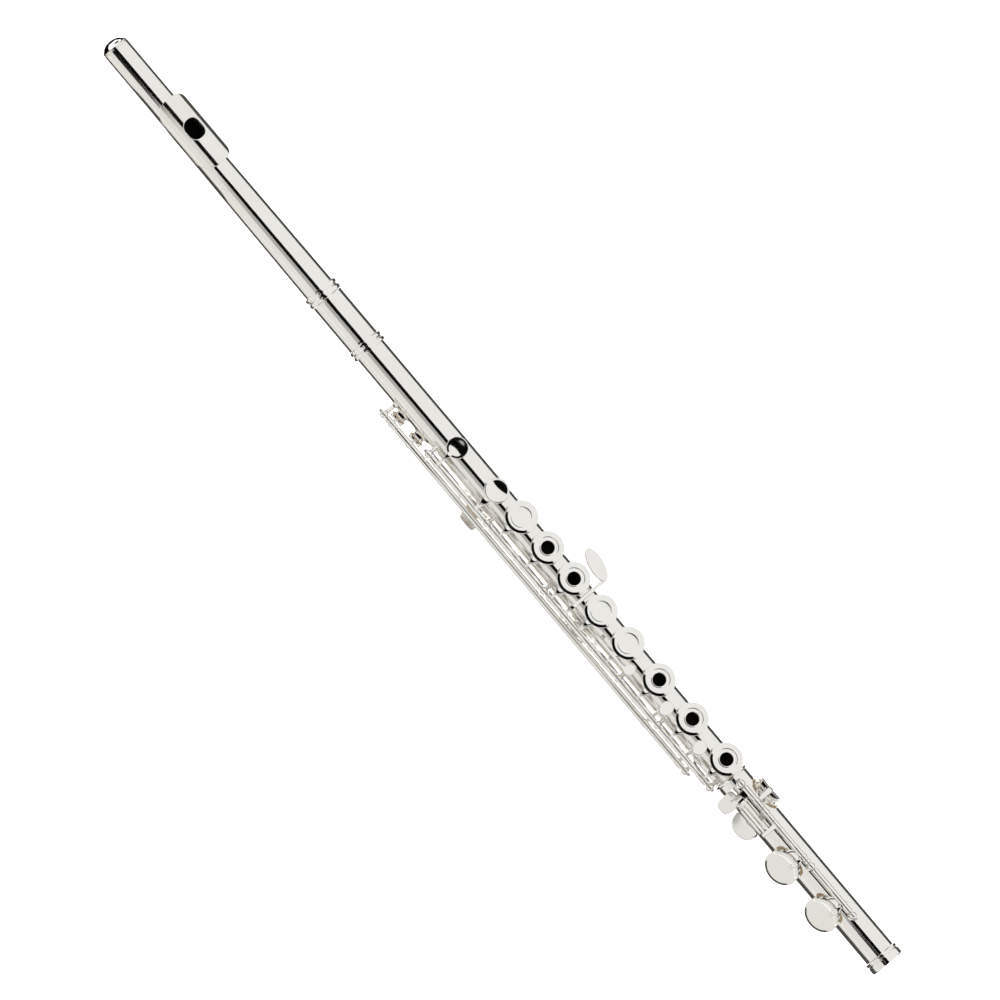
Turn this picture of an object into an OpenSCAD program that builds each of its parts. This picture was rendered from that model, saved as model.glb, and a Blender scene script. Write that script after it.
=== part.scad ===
// Concert flute in C, three joints: head, body and foot.
// Frame: +X runs from head to foot along the bore, +Y is the far side,
// +Z is the side the main row of keys faces. The origin is the centre of
// the open end of the foot.

/* [Tube] */
// Embouchure centre to the open end of the foot
foot_end = 600.3; // [598:0.1:602]
// Outer radius of the body and foot tube
tube_r = 9.9; // [9.85:0.01:9.95]
// Radius of the bore through body and foot
bore_r = 9.5; // [9.4:0.01:9.5]
// Height of a tone-hole rim above the bore axis
rim_r = 11.8; // [11.7:0.05:11.9]
// Outer radius of the head tube in the barrel
tenon_r = 9.85; // [9.82:0.01:9.87]

/* [Embouchure] */
// Length of the blow hole along the tube
blow_l = 12.4; // [11:0.1:13]
// Width of the blow hole across the tube
blow_w = 10.4; // [9.8:0.1:11]
// Outer radius of the lip plate
lip_r = 11.7; // [11.6:0.1:11.8]
lip_c = [0.8, 1.9];
// Width of the lip plate across the tube
lip_w = 21.7; // [21.5:0.1:22]

/* [Keys] */
// Outer radius of a body key cup
cup_r = 9.4; // [9.2:0.1:9.4]
// Outer radius of a foot key cup
foot_cup_r = 10.45; // [10.2:0.05:10.5]
// Radius of a finger hole in an open cup
finger_r = 3.85; // [3.6:0.05:4]
// How far an open body key stands off its hole, in degrees about its rod
open_a = 9; // [7:0.5:9]
// How far an open foot key stands off its hole, in degrees about its rod
foot_open_a = 7; // [6:0.5:7]

/* [Rods and posts] */
// Radius of a rod steel
steel_r = 1; // [0.9:0.05:1]
// Outer radius of a hinge tube
hinge_r = 1.9; // [1.8:0.05:1.9]
// Radial running clearance between a hinge tube and its steel
run_c = 0.03; // [0.02:0.01:0.05]
// Radius of a post's ball
ball_r = 2.3; // [2.2:0.05:2.3]

/* [Crown] */
// Thread pitch of the stopper screw
pitch = 0.8; // [0.7:0.05:1]

/* [Hidden] */
$fn = 96;
hr = steel_r + run_c;
rib_top = 10.6;
main_rod = [-15.85, 7.0];
trill_rod = [-18.5, 1.1];
thumb_rod = [7.4, -15.9];
foot_rod = [-3.7, 16.6];
silver = [0.88, 0.88, 0.87];

// ---- helpers -------------------------------------------------------
module atx(x) translate([x - foot_end, 0, 0]) children();
// round bar along X between two stations, at a place (y, z)
module bar(x0, x1, r, p = [0, 0])
  translate([x0 - foot_end, p[0], p[1]]) rotate([0, 90, 0]) cylinder(h = x1 - x0, r = r);
// hollow bar along X
module pipe(x0, x1, ro, ri, p = [0, 0])
  difference() { bar(x0, x1, ro, p); bar(x0 - 1, x1 + 1, ri, p); }
// turned part about the tube's axis, points are [radius, station]
module turned(pts)
  translate([-foot_end, 0, 0]) rotate([0, 90, 0]) rotate_extrude() polygon(pts);
// outline in the (y, z) plane, carried along X from x0 to x1
module slab(x0, x1, pts)
  translate([x0 - foot_end, 0, 0]) rotate([90, 0, 90]) linear_extrude(x1 - x0) polygon(pts);
// frame of a tone hole: +Z points out of it, z = 0 is the rim's top plane.
// ang is measured from +Z towards +Y
module hole_frame(x, ang)
  atx(x) rotate([-ang, 0, 0]) translate([0, 0, rim_r]) children();
// turn about a rod from the closed position by a degrees about +X
module swung(rod, a)
  translate([0, rod[0], rod[1]]) rotate([a, 0, 0]) translate([0, -rod[0], -rod[1]]) children();

// drawn tone hole with a rolled rim, in the hole's frame
module chimney(r) {
  translate([0, 0, -rim_r + 5]) cylinder(h = rim_r - 5 - 0.3, r = r + 0.4);
  rotate_extrude() polygon([[r - 0.3, -0.95], [r + 0.75, -0.75], [r + 0.95, -0.45],
    [r + 0.75, -0.12], [r + 0.4, 0], [r + 0.1, 0], [r - 0.3, -0.2]]);
}
module chimney_hole(r)
  translate([0, 0, -rim_r + 4]) cylinder(h = rim_r, r = r);

// key cup in the hole's frame, closed. open = finger hole through it
module cup(r, finger = false, dish = true) {
  rotate_extrude() polygon(finger ?
    [[finger_r, 0.3], [finger_r + 0.4, 0.3], [finger_r + 0.4, 2.35], [r - 0.5, 2.35],
     [r - 0.5, 0.45], [r, 0.45], [r, 2.65], [r - 0.45, 3.1], [6.2, 3.1], [5.8, 2.85], [finger_r, 2.85]] :
    dish ?
    [[0, 2.3], [r - 0.5, 2.3], [r - 0.5, 0.45], [r, 0.45], [r, 2.65], [r - 0.45, 3.1],
     [5.8, 3.1], [5.3, 2.75], [0, 2.65]] :
    [[0, 2.3], [r - 0.5, 2.3], [r - 0.5, 0.45], [r, 0.45], [r, 2.65], [r - 0.45, 3.1], [0, 3.25]]);
}
module pad(r, finger = false)
  translate([0, 0, 0.05]) difference() {
    cylinder(h = finger ? 2.3 : 2.25, r = r - 0.6);
    if (finger) translate([0, 0, -1]) cylinder(h = 5, r = finger_r + 0.45);
  }
// small cup of the C sharp and trill holes
module small_cup(r)
  rotate_extrude() polygon([[0, 1.8], [r - 0.45, 1.8], [r - 0.45, 0.4], [r, 0.4], [r, 2.0], [r - 0.4, 2.4], [0, 2.5]]);
module small_pad(r) translate([0, 0, 0.05]) cylinder(h = 1.75, r = r - 0.55);
// arm from the main rod's hinge tube to the near side of a cup, closed
module main_arm(x, w = 3)
  slab(x - w / 2, x + w / 2, [[-16.9, 8.3], [-14.8, 8.3], [-13.9, 10.7], [-12, 12.2], [-8.9, 12.9],
    [-8.9, 14.5], [-11.6, 14.2], [-14.6, 12.9], [-16.2, 11]]);
module main_key(x, x0, x1, finger) {
  pipe(x0, x1, hinge_r, hr, main_rod);
  main_arm(x);
  hole_frame(x, 0) cup(cup_r, finger);
}
// ball-ended post on the tube, drilled along X for a steel.
// flat = it stands on the flat rib, otherwise on the round tube
module post(x, rod, base_r, drill, spring = true, flat = false) {
  L = norm(rod);
  difference() {
    atx(x) rotate([-atan2(rod[0], rod[1]), 0, 0]) {
      translate([0, 0, L]) sphere(r = ball_r);
      translate([0, 0, flat ? base_r : base_r - 1]) cylinder(h = L - base_r, r = 1.3);
      translate([0, 0, flat ? base_r : base_r - 1]) cylinder(h = flat ? 0.6 : 1.7, r = flat ? 1.65 : 2.2);
    }
    if (!flat) bar(x - 4, x + 4, base_r);
    bar(x - 4, x + 4, drill, rod);
    if (spring) bar(x - 4, x + 4, 0.36, rod * (L - 2.9) / L);
  }
}
module spring(x0, x1, rod) bar(x0, x1, 0.35, rod * (norm(rod) - 2.9) / norm(rod));

// ---- head ----------------------------------------------------------
function head_r(x) = x > 110 ? tenon_r : x < -17 ? 8.86 : 8.86 + (tenon_r - 8.86) * pow((x + 17) / 127, 0.72);
head_st = [for (i = [0 : 6]) -17 + 127 * i / 6];
module head_solid(d)
  turned(concat([[0, -61.7], [8.86 - d, -61.7]], [for (x = head_st) [head_r(x) - d, x]],
    [[tenon_r - d, 150], [0, 150]]));
module blow_outline(g) {
  cr = 4.6 + g;
  a = blow_l / 2 + g - cr; b = blow_w / 2 + g - cr;
  square([2 * (a + cr), 2 * b], center = true);
  square([2 * a, 2 * (b + cr)], center = true);
  for (i = [-1, 1], j = [-1, 1]) translate([i * a, j * b]) circle(r = cr);
}
module blow_prism(g, z0, z1)
  atx(0) rotate([-2, 0, 0]) translate([0, 0, z0]) linear_extrude(z1 - z0) blow_outline(g);
module head_tube() color(silver)
  difference() {
    head_solid(0);
    turned(concat([[0, -62.7], [8.46, -62.7]], [for (x = head_st) [head_r(x) - 0.4, x]],
      [[tenon_r - 0.4, 151], [0, 151]]));
    blow_prism(0, 4, 20);
  }
module embouchure_riser() color(silver)
  difference() {
    blow_prism(1.3, 4, 13.3);
    blow_prism(0, 3, 14);
    head_solid(0);
    difference() { bar(-30, 30, 20); bar(-31, 31, lip_r - 0.9, lip_c); }
  }
module lip_plate() color(silver)
  difference() {
    intersection() {
      pipe(-24, 26, lip_r, lip_r - 0.9, lip_c);
      atx(0) translate([0, lip_c[0], 0]) linear_extrude(20) intersection() {
        translate([-30, -lip_w / 2]) square([60, lip_w]);
        union() {
          translate([-8.82, 0]) circle(r = 13.18);
          translate([-8.82, -lip_w / 2]) square([17.73, lip_w]);
          translate([8.91, 0]) circle(r = 14.89);
        }
      }
    }
    blow_prism(0, 4, 20);
  }
module crown() color(silver)
  difference() {
    union() {
      turned([[0, -67.4], [2.5, -67.2], [4.4, -66.5], [6.1, -65.3], [7.45, -64], [8.05, -63.45],
        [8.7, -63.4], [8.9, -63], [8.7, -62.55], [8.9, -62.35], [8.9, -61.75], [8.42, -61.75],
        [8.42, -53.5], [0, -53.5]]);
    }
    bar(-62, -50, 1.55);
  }
module stopper_screw() color([0.75, 0.72, 0.6]) bar(-60.5, -16.9, 1.5);
module stopper_cork() color([0.76, 0.6, 0.42]) pipe(-26.5, -18.1, 8.43, 1.5);
module stopper_plates() color(silver) {
  pipe(-18.1, -16.9, 8.3, 1.5);
  pipe(-27.7, -26.5, 8.3, 1.5);
}

// ---- body ----------------------------------------------------------
body_holes = [[280.7, 0, 7.2], [303.0, 0, 7.2], [325.4, 0, 7.2], [348.8, 0, 7.2], [372.0, 0, 7.2],
  [398.5, 0, 7.2], [426.9, 0, 7.2], [456.1, 0, 7.2], [260.8, -165, 6.9], [348.8, -124, 6.9]];
small_holes = [[228.6, -10, 3.6], [194.8, -115, 3.9], [210.2, -115, 3.9]];
module body_tube() color(silver)
  difference() {
    union() {
      bar(151, 464.6, tube_r);
      bar(464, 475.8, 9.65);
      for (h = body_holes) hole_frame(h[0], h[1]) chimney(h[2]);
      for (h = small_holes) hole_frame(h[0], h[1]) chimney(h[2]);
    }
    bar(150, 480, bore_r - 0.3);
    bar(150, 470, bore_r);
    for (h = body_holes) hole_frame(h[0], h[1]) chimney_hole(h[2]);
    for (h = small_holes) hole_frame(h[0], h[1]) chimney_hole(h[2]);
  }
module barrel() color(silver) pipe(112.2, 156.5, 10.5, tube_r);
module barrel_rings() color(silver) {
  difference() {
    turned([[10.5, 112.2], [11.3, 112.5], [11.45, 113.6], [11.3, 114.8], [10.85, 115.3], [11.2, 116.2],
      [11.35, 117.3], [11.1, 118.5], [10.5, 118.9]]);
  }
  turned([[10.5, 150.4], [11.1, 150.7], [11.35, 152], [11.2, 153.1], [10.85, 153.7], [11.3, 154.3],
    [11.45, 155.3], [11.25, 156.3], [10.5, 156.5]]);
}
module main_rib() color(silver)
  difference() {
    atx(0) rotate([-atan2(main_rod[0], main_rod[1]), 0, 0])
      translate([216, -1.7, 9]) cube([248.4, 3.4, 1.6]);
    bar(210, 470, tube_r);
  }
module main_posts() color(silver) {
  for (x = [221.1, 271.2, 417.1, 462]) post(x, main_rod, rib_top, steel_r, true, true);
  // two posts where a turning steel meets a fixed one
  difference() {
    post(319.9, main_rod, rib_top, steel_r, true, true);
    bar(319.9, 324, hr, main_rod);
  }
  difference() {
    post(383.6, main_rod, rib_top, steel_r, true, true);
    bar(380, 383.6, hr, main_rod);
  }
}
module trill_posts() color(silver) {
  post(188.2, trill_rod, tube_r, hr, false);
  // the flare of the right-hand post is cut away beside the rib
  difference() {
    post(446.4, trill_rod, tube_r, hr, false);
    atx(0) rotate([-atan2(main_rod[0], main_rod[1]), 0, 0])
      translate([440, -1.73, 9]) cube([14, 3.46, 4]);
  }
}
module thumb_posts() color(silver)
  for (x = [243, 279.5]) post(x, thumb_rod, tube_r, steel_r, false);
module left_rod_steel() color([0.7, 0.7, 0.7]) {
  bar(217.6, 319.8, steel_r, main_rod);
}
module right_rod_steel() color([0.7, 0.7, 0.7]) bar(383.7, 465, steel_r, main_rod);
module thumb_rod_steel() color([0.7, 0.7, 0.7]) bar(240, 282.4, steel_r, thumb_rod);
module needle_springs() color([0.45, 0.45, 0.5])
  for (s = [[219.5, 245], [269.6, 290], [296, 318.2], [321.6, 333], [366, 381.9], [382, 405],
      [415.5, 434], [446, 463.6]])
    spring(s[0], s[1], main_rod);
module pivot_screws() color([0.7, 0.7, 0.7]) {
  bar(184.6, 186.8, hr - 0.03, trill_rod);
  bar(447.8, 450, hr - 0.03, trill_rod);
}

// ---- left-hand keys ------------------------------------------------
module c_key() color(silver) swung(main_rod, open_a) {
  pipe(223.6, 268.7, hinge_r, hr, main_rod);
  difference() {
    slab(227.4, 229.8, [[-16.9, 8.3], [-14.8, 8.3], [-6.9, 12.3], [-6.9, 13.7], [-9.5, 13.6]]);
    hole_frame(228.6, -10) translate([0, 0, -1]) cylinder(h = 2.8, r = 5.8);
  }
  hole_frame(228.6, -10) small_cup(6.25);
  slab(259.3, 262.3, [[-16.9, 8.3], [-14.8, 8.3], [-8.7, 11.9], [-5, 12.0], [-5, 13.2], [-9.4, 13.2]]);
  atx(260.8) translate([0, -1, 12]) rotate_extrude()
    polygon([[0, 0], [6.9, 0], [7.35, 0.4], [7.35, 1.5], [6.9, 1.9], [5.2, 1.9], [4.6, 1.5], [0, 1.3]]);
}
module c_key_pad() color([0.8, 0.68, 0.5]) swung(main_rod, open_a) hole_frame(228.6, -10) small_pad(6.25);
module b_flat_key() color(silver) swung(main_rod, open_a) main_key(280.7, 273.7, 294.8, false);
module b_flat_pad() color([0.8, 0.68, 0.5]) swung(main_rod, open_a) hole_frame(280.7, 0) pad(cup_r);
module a_key() color(silver) swung(main_rod, open_a) main_key(303.0, 295.1, 317.4, true);
module a_pad() color([0.8, 0.68, 0.5]) swung(main_rod, open_a) hole_frame(303.0, 0) pad(cup_r, true);
module g_keys() color(silver) swung(main_rod, open_a) {
  pipe(322.4, 334.1, hinge_r, steel_r, main_rod);
  main_arm(325.4);
  hole_frame(325.4, 0) cup(cup_r, true);
  pipe(339.4, 357.6, hinge_r, steel_r, main_rod);
  main_arm(348.8);
  hole_frame(348.8, 0) cup(cup_r, false);
}
module g_pads() color([0.8, 0.68, 0.5]) swung(main_rod, open_a) {
  hole_frame(325.4, 0) pad(cup_r, true);
  hole_frame(348.8, 0) pad(cup_r);
}
module g_rod_steel() color([0.7, 0.7, 0.7]) bar(320, 383.5, steel_r, main_rod);
module g_sharp_key() color(silver) {
  pipe(334.4, 339.1, hinge_r, hr, main_rod);
  // arm over the tube to the far side
  slab(335.7, 338.3, [[-16.9, 8.3], [-14.8, 8.3], [-9.3, 12.2], [8, 12.2], [13.5, 12.1],
    [13.5, 13.4], [8.5, 13.8], [-9.8, 13.8]]);
  // leaf-shaped touch, its long axis turned 12 degrees off the tube
  intersection() {
    slab(315, 340, [[9.5, 12.2], [14, 12.0], [18, 11.4], [22.5, 10.2], [22.5, 11.5], [18.2, 12.75], [14, 13.4], [9.5, 13.6]]);
    atx(0) linear_extrude(30) translate([327.6, 15.65]) rotate(-12) intersection() {
      translate([0, 12.74]) circle(r = 17.64);
      translate([0, -12.74]) circle(r = 17.64);
      circle(r = 10.8);
    }
  }
  // arm down to the cup at the back
  slab(335.6, 338.4, [[-16.9, 5.7], [-14.8, 5.7], [-12.7, 2.5], [-12.4, -1], [-12.0, -6], [-12.3, -7.4],
    [-13.9, -8.3], [-14.4, -7], [-14.1, -1], [-14.4, 2]]);
  hole_frame(348.8, -124) {
    translate([-13.2, -1.5, 3.1]) cube([14, 3, 1.2]);
    cup(cup_r - 0.6, false, false);
  }
}
module g_sharp_pad() color([0.8, 0.68, 0.5]) hole_frame(348.8, -124) pad(cup_r - 0.6);

// ---- right-hand keys -----------------------------------------------
module f_sharp_key() color(silver) swung(main_rod, open_a) main_key(372.0, 363.9, 381.2, false);
module f_sharp_pad() color([0.8, 0.68, 0.5]) swung(main_rod, open_a) hole_frame(372.0, 0) pad(cup_r);
module f_key() color(silver) swung(main_rod, open_a) main_key(398.5, 386.0, 414.7, true);
module f_pad() color([0.8, 0.68, 0.5]) swung(main_rod, open_a) hole_frame(398.5, 0) pad(cup_r, true);
module e_key() color(silver) swung(main_rod, open_a) main_key(426.9, 419.5, 435.5, true);
module e_pad() color([0.8, 0.68, 0.5]) swung(main_rod, open_a) hole_frame(426.9, 0) pad(cup_r, true);
module d_key() color(silver) swung(main_rod, open_a) main_key(456.1, 435.8, 459.6, true);
module d_pad() color([0.8, 0.68, 0.5]) swung(main_rod, open_a) hole_frame(456.1, 0) pad(cup_r, true);

// long trill keys: the cup hangs below the rod, the touch lies over the tube
module trill_cup(x)
  hole_frame(x, -115) {
    small_cup(5.5);
    translate([-1.3, 0, 0]) rotate([90, 0, 90]) linear_extrude(2.6)
      polygon([[7.4, 3.5], [7.3, 5.0], [3, 4.0], [-3.5, 3.5], [-3.5, 2.3], [4.3, 2.3], [5.6, 2.7]]);
  }
module trill_touch(x) {
  slab(x - 2.9, x - 0.5, [[-17.1, 0.7], [-17.2, 2.2], [-13.2, 3.9], [-12.4, 7.0], [-12.0, 12.2], [-10.6, 15.0],
    [-9, 14.4], [-10.8, 11.8], [-11.0, 6.6], [-11.8, 2.7]]);
  intersection() {
    slab(x - 5, x + 5, [[-11.8, 14.3], [-4, 14.5], [-4, 15.7], [-11.8, 15.9]]);
    atx(x) translate([0, -8, 0]) linear_extrude(30) circle(r = 3.95);
  }
}
module trill_d_key() color(silver) {
  pipe(199.2, 436.8, hinge_r, hr, trill_rod);
  trill_cup(210.2);
  trill_touch(413.2);
}
module trill_d_pad() color([0.8, 0.68, 0.5]) hole_frame(210.2, -115) small_pad(5.5);
module trill_d_sharp_key() color(silver) {
  bar(186.9, 447.7, steel_r, trill_rod);
  bar(190.7, 198.9, hinge_r, trill_rod);
  bar(437.1, 443.9, hinge_r, trill_rod);
  trill_cup(194.8);
  trill_touch(441.6);
}
module trill_d_sharp_pad() color([0.8, 0.68, 0.5]) hole_frame(194.8, -115) small_pad(5.5);
module side_b_flat_lever() color(silver) {
  pipe(358.0, 363.5, hinge_r, hr, main_rod);
  slab(359, 362, [[-16.9, 8.3], [-14.8, 8.3], [-12.2, 16.5], [-12.2, 17.7], [-14.2, 17.7]]);
  slab(359, 386.4, [[-14.2, 16.5], [-12.2, 16.5], [-12.2, 17.7], [-14.2, 17.7]]);
  slab(381.3, 386.4, [[-14.6, 16.2], [-7.6, 16.7], [-7.6, 17.8], [-14.6, 17.7]]);
}

// ---- thumb keys, on a short rod under the tube ------------------------
thumb_rest = 8;
module thumb_b_key() color(silver) swung(thumb_rod, thumb_rest) {
  pipe(256.5, 277, hinge_r, hr, thumb_rod);
  hole_frame(260.8, -165) {
    cup(cup_r - 0.6, false, false);
    translate([-1.6, 0, 0]) rotate([90, 0, 90]) linear_extrude(3.2)
      polygon([[-12.3, 2.94], [-10.2, 2.94], [-9.3, 3.0], [9, 3.0], [12, 1.4], [14.5, 1.0], [14.5, 2.3], [9.4, 4.4], [-10, 4.4]]);
    translate([-3.4, 10.5, 0.9]) cube([12, 4.6, 1.4]);
  }
}
module thumb_b_pad() color([0.8, 0.68, 0.5]) swung(thumb_rod, thumb_rest) hole_frame(260.8, -165) pad(cup_r - 0.6);
module thumb_b_flat_lever() color(silver) swung(thumb_rod, thumb_rest) {
  pipe(245.4, 256.2, hinge_r, hr, thumb_rod);
  hole_frame(250, -165) {
    translate([-2, 0, 0]) rotate([90, 0, 90]) linear_extrude(3)
      polygon([[-12.3, 2.94], [-10.2, 2.94], [5.5, 3.0], [8.5, 2.0], [11.2, 1.5], [11.2, 2.8], [7.6, 4.2], [-10, 4.4]]);
    translate([-3.4, 7.6, 1.4]) cube([8.4, 3.9, 1.4]);
  }
}

// ---- foot ------------------------------------------------------------
foot_holes = [[484.6, 59.5, 7.8], [521.8, -66.5, 7.8], [555.8, -66.5, 7.8]];
module foot_tube() color(silver)
  difference() {
    union() {
      bar(476.3, 600.3, tube_r);
      bar(464.7, 476.4, 10.25);
      for (h = foot_holes) hole_frame(h[0], h[1]) chimney(h[2]);
    }
    bar(464, 602, bore_r);
    bar(464, 475.9, 9.72);
    for (h = foot_holes) hole_frame(h[0], h[1]) chimney_hole(h[2]);
  }
module foot_end_ring() color(silver)
  turned([[tube_r, 593.3], [10.9, 593.5], [11.15, 594.5], [10.9, 595.5], [10.5, 595.9], [10.9, 596.4],
    [10.95, 599.9], [10.6, 600.3], [tube_r, 600.3]]);
module foot_socket_ring() color(silver)
  turned([[10.25, 464.7], [10.9, 464.9], [11.1, 465.6], [10.9, 466.5], [10.25, 466.8]]);
module foot_posts() color(silver) {
  post(471.6, foot_rod, 10.25, hr);
  for (x = [531.4, 567]) post(x, foot_rod, tube_r, hr);
}
module foot_springs() color([0.45, 0.45, 0.5])
  for (s = [[470, 487], [513, 532.8], [530.9 + 2.1, 550]]) spring(s[0], s[1], foot_rod);
module foot_pivot_screws() color([0.7, 0.7, 0.7]) {
  bar(468.4, 470.1, hr - 0.03, foot_rod);
  bar(568.5, 570.2, hr - 0.03, foot_rod);
}
module foot_arm_near(x, w = 3)
  atx(x) rotate([66.5, 0, 0]) translate([-w / 2, 0, rim_r]) rotate([90, 0, 90]) linear_extrude(w)
    polygon([[14.6, -0.4], [12.5, -0.7], [9.9, 1.0], [9.5, 2.9], [12, 3.0]]);
module d_sharp_key() color(silver) {
  pipe(474.1, 489.6, hinge_r, hr, foot_rod);
  hole_frame(484.6, 59.5) cup(foot_cup_r, false, false);
  atx(484.6) rotate([-59.5, 0, 0]) translate([-1.5, 0, rim_r]) rotate([90, 0, 90]) linear_extrude(3)
    polygon([[-16.9, -5.1], [-14.9, -5.5], [-9.9, 1.0], [-9.5, 2.9], [-12, 2.9]]);
  slab(474.6, 480, [[-5.2, 17.3], [-4.9, 15.3], [-10, 13.4], [-15.5, 10.2], [-18.2, 6.5], [-19.4, 7],
    [-16.6, 11.2], [-10.6, 14.9]]);
  slab(470.7, 480.6, [[-9.6, 13.6], [-15.5, 10.2], [-18.2, 6.5], [-19.4, 7], [-16.6, 11.2], [-10, 15.1]]);
}
module d_sharp_pad() color([0.8, 0.68, 0.5]) hole_frame(484.6, 59.5) pad(foot_cup_r);
module c_sharp_key() color(silver) swung(foot_rod, -foot_open_a) {
  pipe(489.9, 498.6, hinge_r, hr, foot_rod);
  pipe(504.4, 526.8, hinge_r, hr, foot_rod);
  // bridge under the low C hub
  slab(493, 510, [[-4.7, 12.6], [-2.7, 12.6], [-2.7, 13.9], [-4.7, 13.9]]);
  slab(493, 498.6, [[-4.7, 13.9], [-2.7, 13.9], [-2.7, 15.3], [-4.7, 15.3]]);
  slab(504.4, 510, [[-4.7, 13.9], [-2.7, 13.9], [-2.7, 15.3], [-4.7, 15.3]]);
  hole_frame(521.8, -66.5) cup(foot_cup_r, false, false);
  foot_arm_near(524.7);
  // touch, under and beyond the roller
  slab(491, 495, [[-5.3, 16.2], [-4.4, 15.1], [-8, 10.9], [-13, 8.6], [-13.2, 9.9], [-9, 12]]);
  slab(482.4, 499.6, [[-12.6, 8.7], [-19.2, 4.6], [-20, 5.6], [-13.2, 9.9]]);
}
module c_sharp_pad() color([0.8, 0.68, 0.5]) swung(foot_rod, -foot_open_a) hole_frame(521.8, -66.5) pad(foot_cup_r);
module low_c_key() color(silver) swung(foot_rod, -foot_open_a) {
  bar(470.2, 568.4, steel_r, foot_rod);
  bar(498.9, 504.1, hinge_r, foot_rod);
  bar(527.1, 529.0, hinge_r, foot_rod);
  bar(533.9, 564.5, hinge_r, foot_rod);
  hole_frame(555.8, -66.5) cup(foot_cup_r, false, false);
  foot_arm_near(559);
  slab(500, 502.6, [[-5.0, 17.9], [-5.3, 16.2], [-9, 13.9], [-11.5, 12.7], [-14.6, 13], [-14.8, 15.8], [-12.5, 16.6], [-10, 16.5]]);
  slab(481.2, 482.4, [[-9, 13.9], [-11.5, 12.7], [-14.6, 13], [-14.8, 15.8], [-12.5, 16.6], [-9, 16]]);
  slab(481.2, 502.6, [[-10.2, 13.7], [-9, 13.7], [-9, 15.8], [-10.2, 15.8]]);
  bar(481.2, 502.6, 0.6, [-12.6, 14.6]);
}
module low_c_pad() color([0.8, 0.68, 0.5]) swung(foot_rod, -foot_open_a) hole_frame(555.8, -66.5) pad(foot_cup_r);
module low_c_roller() color(silver) swung(foot_rod, -foot_open_a) pipe(482.7, 499.7, 2, 0.63, [-12.6, 14.6]);

head_tube();
lip_plate();
embouchure_riser();
crown();
stopper_screw();
stopper_cork();
stopper_plates();
body_tube();
barrel();
barrel_rings();
main_rib();
main_posts();
trill_posts();
thumb_posts();
left_rod_steel();
right_rod_steel();
thumb_rod_steel();
needle_springs();
pivot_screws();
c_key();
c_key_pad();
b_flat_key();
b_flat_pad();
a_key();
a_pad();
g_keys();
g_pads();
g_rod_steel();
g_sharp_key();
g_sharp_pad();
f_sharp_key();
f_sharp_pad();
f_key();
f_pad();
e_key();
e_pad();
d_key();
d_pad();
trill_d_key();
trill_d_pad();
trill_d_sharp_key();
trill_d_sharp_pad();
side_b_flat_lever();
thumb_b_key();
thumb_b_pad();
thumb_b_flat_lever();
foot_tube();
foot_end_ring();
foot_socket_ring();
foot_posts();
foot_springs();
foot_pivot_screws();
d_sharp_key();
d_sharp_pad();
c_sharp_key();
c_sharp_pad();
low_c_key();
low_c_pad();
low_c_roller();
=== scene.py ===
import bpy, bmesh, math
from mathutils import Vector, Matrix


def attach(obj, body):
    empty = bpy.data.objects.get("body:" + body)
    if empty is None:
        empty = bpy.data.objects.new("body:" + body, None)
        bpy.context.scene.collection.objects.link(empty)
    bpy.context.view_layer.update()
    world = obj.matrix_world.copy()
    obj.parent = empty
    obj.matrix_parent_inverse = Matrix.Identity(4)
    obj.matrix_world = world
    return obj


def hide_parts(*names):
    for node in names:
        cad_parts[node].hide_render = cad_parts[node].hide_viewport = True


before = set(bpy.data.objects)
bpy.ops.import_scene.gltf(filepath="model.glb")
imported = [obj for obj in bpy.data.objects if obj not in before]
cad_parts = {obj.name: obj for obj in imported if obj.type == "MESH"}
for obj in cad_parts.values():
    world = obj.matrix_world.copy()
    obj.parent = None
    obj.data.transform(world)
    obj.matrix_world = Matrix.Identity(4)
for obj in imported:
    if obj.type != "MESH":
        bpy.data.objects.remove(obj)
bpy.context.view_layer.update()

FE = 600.3
RIM = 11.8
MAIN, TRILL, THUMB, FOOT = (-15.85, 7.0), (-18.5, 1.1), (7.4, -15.9), (-3.7, 16.6)
OPEN, FOPEN, TOPEN = 9.0, 7.0, 8.0
pi = math.pi

# ---------------------------------------------------------------- materials
def new_mat(name):
    m = bpy.data.materials.new(name)
    m.use_nodes = True
    nt = m.node_tree
    return m, nt, nt.nodes["Principled BSDF"]

def node(nt, kind, **inputs):
    n = nt.nodes.new(kind)
    for k, v in inputs.items():
        n.inputs[k.replace("_", " ")].default_value = v
    return n

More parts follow.
